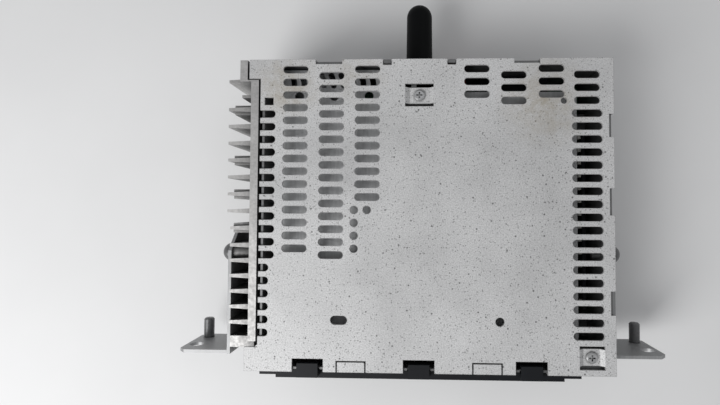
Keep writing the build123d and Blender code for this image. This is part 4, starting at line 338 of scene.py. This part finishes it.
black_plastic = moulded("black panel plastic", (0.007, 0.008, 0.010), 0.50, dust=0.03, shine=0.22)
button_plastic = moulded("button plastic", (0.028, 0.030, 0.034), 0.30)
boot_rubber = moulded("boot rubber", (0.002, 0.0023, 0.0026), 0.52, grain_size=0.00025, dust=0.012,
                      shine=0.10)
roller_rubber = moulded("roller rubber", (0.05, 0.05, 0.052), 0.62)
felt = moulded("slot felt", (0.010, 0.010, 0.011), 0.95, grain_size=0.0003, grain_height=0.0002)
white_plastic = moulded("white gear plastic", (0.74, 0.73, 0.68), 0.36)
grey_plastic = moulded("grey sled plastic", (0.10, 0.10, 0.11), 0.45)
chip_epoxy = moulded("chip epoxy", (0.022, 0.022, 0.024), 0.50)
cap_sleeve = moulded("capacitor sleeve", (0.012, 0.020, 0.055), 0.25, dust=0.04)
fuse_plastic = moulded("fuse plastic", (0.45, 0.03, 0.02), 0.20, dust=0.05)
ribbon_film = moulded("ribbon film", (0.70, 0.70, 0.66), 0.30, dust=0.05)
print("Moulded finishes: 11")

# %% [markdown]
# ## Boards, copper and glass
#
# The main board and the front board hardly show from outside, so they need the right tone more than
# detail: green solder mask with lighter tracks. The side board, under the long vents, is black. The
# tracks are a brick pattern with thin mortar, which gives straight lines at right angles. The choke is
# wound with enamelled copper, drawn as a fine wave along its height; the wave's dark bands are painted
# shade between the turns and its light bands a painted highlight on them.

# %% Board, copper and lens finishes
board = Finish("green board")
tracks = board.add("ShaderNodeTexBrick", Vector=board.place, Scale=160.0, Mortar_Size=0.06)
board.colour(board.mix(tracks.outputs["Fac"], (0.018, 0.085, 0.040), (0.045, 0.16, 0.075)))
board.rough(0.38)
board.bump(tracks.outputs["Fac"], 0.00004, 0.4)

copper = Finish("enamelled copper")
# Painted shade and highlight: the wave darkens the copper between the turns and lightens it on them. It
# also drives the bump.
turns_and_groove_shade = copper.add("ShaderNodeTexWave", Vector=copper.place, Scale=320.0, bands_direction="Z")
copper.colour(copper.mix(turns_and_groove_shade.outputs["Fac"], (0.22, 0.07, 0.02), (0.62, 0.27, 0.09)))
copper.metal(0.8)
copper.rough(0.32)
copper.bump(turns_and_groove_shade.outputs["Fac"], 0.0002, 0.8)

brass = Finish("contact brass")
wear = brass.noise(1200.0, detail=3.0)
brass.colour(brass.mix(wear, (0.55, 0.40, 0.14), (0.80, 0.65, 0.30)))
brass.metal(1.0)
brass.rough(brass.levels(wear, 0.3, 0.7, 0.20, 0.36))

lens = Finish("lens glass")
coat = lens.noise(300.0, detail=1.0)
lens.colour(lens.mix(coat, (0.35, 0.40, 0.75), (0.55, 0.62, 0.85)))
lens.rough(0.05)
lens.set("Transmission Weight", 0.6)
print("Board, copper, brass and lens finishes ready")

# %% [markdown]
# ## Give every CAD node its finish
#
# The solids come in with plain materials. Each node is listed once under its finish, and the last line
# names any node that was forgotten, because a forgotten node would show as flat grey.

# %% Assign the finishes
wearing = {
    cover.material: ["top_cover"],
    frame_steel_with_painted_shade: ["main_frame", "bottom_cover"],
    bracket_steel: ["bracket_left", "bracket_right"],
    deck_steel: ["deck_base", "deck_cover", "clamp_arm", "roller_arm", "cam_slider"],
    screw_steel: ["cover_screws", "heat_sink_screws", "amp_clip_screw", "deck_screws", "amp_clip",
                  "rear_stud", "roller_shaft", "guide_rods", "lead_screw"],
    dull_dark_steel: ["bracket_screws", "locating_pin_left", "locating_pin_right"],
    tin: ["tuner_can", "spindle_motor", "loading_motor", "sled_motor", "antenna_socket", "board_standoffs"],
    cast.material: ["heat_sink"],
    black_plastic: ["front_panel", "harness_socket", "disc_guide", "fascia_connector", "eject_switch",
                    "side_board"],
    button_plastic: ["eject_button"],
    boot_rubber: ["rear_boot"],
    roller_rubber: ["rubber_roller", "deck_dampers"],
    felt: ["slot_felt_upper", "slot_felt_lower"],
    white_plastic: ["side_board_parts", "roller_gear", "idler_gear", "worm", "turntable", "clamp_puck"],
    grey_plastic: ["sled"],
    chip_epoxy: ["power_amp_chip"],
    cap_sleeve: ["capacitors"],
    copper.material: ["choke_coil"],
    brass.material: ["harness_pins"],
    fuse_plastic: ["fuse"],
    ribbon_film: ["deck_ribbon"],
    board.material: ["main_board", "front_board"],
    lens.material: ["pickup_lens"],
}
for material, names in wearing.items():
    for name in names:
        nodes[name].data.materials.clear()
        nodes[name].data.materials.append(material)
bare = sorted(set(nodes) - {name for names in wearing.values() for name in names})
print("Nodes with a finish:", len(nodes) - len(bare), "without:", bare)

# %% [markdown]
# ## Rounded sheet edges
#
# A real sheet edge catches a thin line of light, and a perfectly sharp CAD edge doesn't. A small bevel
# modifier on the pieces that show most adds it without touching their vertices. Its angle limit keeps it
# off the round faces, and clamping keeps neighbouring bevels from crossing.

# %% Soften the edges
BEVEL_WIDTHS = {
    "top_cover": 0.00018,
    "main_frame": 0.00012,
    "heat_sink": 0.00022,
    "front_panel": 0.00020,
    "bracket_left": 0.00018,
    "bracket_right": 0.00018,
    "bottom_cover": 0.00018,
    "cover_screws": 0.00008,
    "bracket_screws": 0.00010,
}
BEVEL_SEGMENTS = 2
SHARP_FROM = math.radians(40)
for name, width in BEVEL_WIDTHS.items():
    bevel = nodes[name].modifiers.new("soft edge", "BEVEL")
    bevel.width = width
    bevel.segments = BEVEL_SEGMENTS
    bevel.limit_method = "ANGLE"
    bevel.angle_limit = SHARP_FROM
    bevel.use_clamp_overlap = True
print("Softened:", ", ".join(BEVEL_WIDTHS))

# %% [markdown]
# ## Rubber boot
#
# The boot is a moulded rubber cap pushed over a stud. Its wall is slightly tapered and its end is a dome,
# with a thick rounded rim at the base. A turned profile gives all of that: the outline is written as
# radius against length and spun about the stud's axis.

# %% Turned pieces
TURN_STEPS = 96


def put(name, data):
    """Adds an object with this data to the scene."""
    piece = bpy.data.objects.new(name, data)
    bpy.context.scene.collection.objects.link(piece)
    return piece


def put_mesh(name, work):
    """Adds the mesh that was worked on, with its faces looking outwards."""
    bmesh.ops.recalc_face_normals(work, faces=work.faces)
    mesh = bpy.data.meshes.new(name)
    work.to_mesh(mesh)
    work.free()
    return put(name, mesh)


def turned(name, profile, centre):
    """Spins a profile of (length, radius) points about the Y axis through centre."""
    work = bmesh.new()
    rings = []
    for along, radius in profile:
        ring = []
        for k in range(TURN_STEPS):
            a = 2 * math.pi * k / TURN_STEPS
            x = centre.x + radius * math.cos(a)
            z = centre.z + radius * math.sin(a)
            ring.append(work.verts.new((x, along, z)))
        rings.append(ring)
    for near, far in zip(rings, rings[1:]):
        for k in range(TURN_STEPS):
            j = (k + 1) % TURN_STEPS
            work.faces.new((near[k], near[j], far[j], far[k]))
    work.faces.new(rings[0][::-1])
    work.faces.new(rings[-1])
    piece = put_mesh(name, work)
    for face in piece.data.polygons:
        face.use_smooth = len(face.vertices) == 4
    return piece


print("Turned pieces have", TURN_STEPS, "sides")

# %% Shape the boot
low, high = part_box("rear_boot")
axis = (low + high) / 2
base_r = (high.x - low.x) / 2
BOOT_WALL_R = 6.7 * MM
BOOT_TIP_R = 6.45 * MM
TIP_FLAT_R = 0.05 * MM
RIM = 3.0 * MM
WALL_STEPS = 8
DOME_STEPS = 14
dome_at = high.y - BOOT_TIP_R
wall_at = low.y + RIM + 0.8 * MM
# The rim with its two rounded edges, and the groove behind it
outline = [
    (low.y, base_r - 0.4 * MM),
    (low.y + 0.3 * MM, base_r - 0.05 * MM),
    (low.y + 0.7 * MM, base_r),
    (low.y + RIM - 0.7 * MM, base_r),
    (low.y + RIM - 0.2 * MM, base_r - 0.15 * MM),
    (low.y + RIM + 0.2 * MM, BOOT_WALL_R - 0.05 * MM),
]
for k in range(WALL_STEPS + 1):
    share = k / WALL_STEPS
    radius = BOOT_WALL_R + share * (BOOT_TIP_R - BOOT_WALL_R)
    outline.append((wall_at + share * (dome_at - wall_at), radius))
for k in range(1, DOME_STEPS):
    a = 0.5 * math.pi * k / DOME_STEPS
    outline.append((dome_at + BOOT_TIP_R * math.sin(a), BOOT_TIP_R * math.cos(a)))
outline.append((high.y, TIP_FLAT_R))
boot = turned("moulded_boot", outline, axis)
boot.data.materials.append(boot_rubber)
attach(boot, "chassis")
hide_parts("rear_boot")
print("Boot length:", round((high.y - low.y) / MM, 1), "mm, rings:", len(outline))

# %% [markdown]
# ## Felt in the disc slot
#
# Two felt strips keep dust out of the slot. Their free edges are slightly ragged. A strip is made as a
# grid with many columns, and the row that faces the slot is moved in and out by a small wave of two
# lengths, which looks irregular but never repeats within the strip.

# %% Felt strips
FELT_COLUMNS = 160
FELT_ROWS = (0.0, 0.5, 0.85, 1.0)       # shares of the strip's height, from the glued edge
FREE_EDGE = FELT_ROWS[-1]


def ragged(k):
    """How much the free edge falls short in column k, as a share of the height."""
    return 0.05 + 0.03 * math.sin(k * 1.7) + 0.02 * math.sin(k * 0.61 + 1.0)


def felt_strip(name, node, free_edge_up):
    """A felt strip that fills the CAD strip's box, with a ragged free edge."""
    low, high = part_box(node)
    work = bmesh.new()
    front = []
    back = []
    for row_share in FELT_ROWS:
        for y, sheet in ((low.y, front), (high.y, back)):
            row = []
            for k in range(FELT_COLUMNS + 1):
                x = low.x + (high.x - low.x) * k / FELT_COLUMNS
                share = row_share
                if row_share == FREE_EDGE:
                    share -= ragged(k)
                z = low.z + (high.z - low.z) * (share if free_edge_up else 1.0 - share)
                row.append(work.verts.new((x, y, z)))
            sheet.append(row)

    def skin(a, b):
        for k in range(FELT_COLUMNS):
            work.faces.new((a[k], a[k + 1], b[k + 1], b[k]))

    for sheet in (front, back):
        for a, b in zip(sheet, sheet[1:]):
            skin(a, b)
    skin(front[0], back[0])
    skin(front[-1], back[-1])
    for k in (0, FELT_COLUMNS):
        for i in range(len(front) - 1):
            work.faces.new((front[i][k], front[i + 1][k], back[i + 1][k], back[i][k]))
    piece = put_mesh(name, work)
    piece.data.materials.append(felt)
    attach(piece, "chassis")
    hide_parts(node)


felt_strip("felt_lower", "slot_felt_lower", True)
felt_strip("felt_upper", "slot_felt_upper", False)
print("Felt strips: 2, with", FELT_COLUMNS, "columns each")

# %% [markdown]
# ## Floor, light and camera
#
# The photograph was taken from nearly straight above on a pale table, with window light from the front
# left. The floor is a large pale plane. One soft lamp stands near the front left, so that the table and
# the cover get darker to the right as in the photograph. A weak fill lamp and an even grey world keep the
# shadows soft. The camera stands about 27 cm above the table, which makes the ears, far below the cover,
# look smaller and closer in. Its place and tilt come from fitting the cover's slot grid and edges, and
# the small shift is the photograph's own framing.

# %% Floor
REACH = 3.0
corners = [(-REACH, -REACH, 0), (REACH, -REACH, 0), (REACH, REACH, 0), (-REACH, REACH, 0)]
ground = bpy.data.meshes.new("table")
ground.from_pydata(corners, [], [(0, 1, 2, 3)])
table = put("table", ground)
tabletop = Finish("pale table")
mottle = tabletop.noise(9.0, detail=4.0)
tabletop.colour(tabletop.ramp(mottle, (0.3, grey(0.76)), (0.7, grey(0.80))))
tabletop.rough(0.85)
ground.materials.append(tabletop.material)
print("Floor:", 2 * REACH, "m wide")

# %% Light
def softbox(name, place, aim, size, power):
    """A square area lamp that looks at a point."""
    lamp = bpy.data.lights.new(name, "AREA")
    lamp.shape = "SQUARE"
    lamp.size = size
    lamp.energy = power
    holder = put(name, lamp)
    holder.location = place
    holder.rotation_euler = (Vector(aim) - Vector(place)).to_track_quat("-Z", "Y").to_euler()


ROOM_COLOUR = (0.97, 0.98, 1.0, 1.0)
ROOM_STRENGTH = 0.38
# Places and sizes in metres, power in watts
softbox("window light", (-0.40, -0.36, 0.50), (-0.03, 0, 0), size=0.42, power=3.8)
softbox("fill light", (0.8, 0.7, 1.2), (0, 0, 0), size=1.0, power=1.2)
world = bpy.data.worlds.new("room")
bpy.context.scene.world = world
world.use_nodes = True
background = world.node_tree.nodes["Background"]
background.inputs["Color"].default_value = ROOM_COLOUR
background.inputs["Strength"].default_value = ROOM_STRENGTH
bpy.context.scene.view_settings.view_transform = "Standard"
print("Lamps: 2, and an even grey world of strength", ROOM_STRENGTH)

# %% Camera
IMAGE_W = 720.0
IMAGE_H = 405.0
FOCAL_PX = 485.0
CENTRE_PX = (400.785, 193.443)
TILT = (-0.03391, -0.03512, -0.00286)   # radians about X, Y and Z
EYE = Vector((-0.000602, 0.002071, 0.273772))   # metres
SENSOR_MM = 36.0
NEAREST = 0.01
FARTHEST = 20.0
camera_data = bpy.data.cameras.new("camera")
camera_data.sensor_width = SENSOR_MM
camera_data.lens = SENSOR_MM * FOCAL_PX / IMAGE_W
camera_data.shift_x = -(CENTRE_PX[0] - IMAGE_W / 2) / IMAGE_W
camera_data.shift_y = (CENTRE_PX[1] - IMAGE_H / 2) / IMAGE_W
camera_data.clip_start = NEAREST
camera_data.clip_end = FARTHEST
camera = put("camera", camera_data)
turn_x, turn_y, turn_z = (Matrix.Rotation(angle, 3, name) for angle, name in zip(TILT, "XYZ"))
turn = turn_z @ turn_y @ turn_x
camera.matrix_world = Matrix.Translation(EYE) @ turn.transposed().to_4x4()
bpy.context.scene.camera = camera
print("Lens:", round(camera_data.lens, 2), "mm")
print("Shift:", round(camera_data.shift_x, 4), round(camera_data.shift_y, 4))
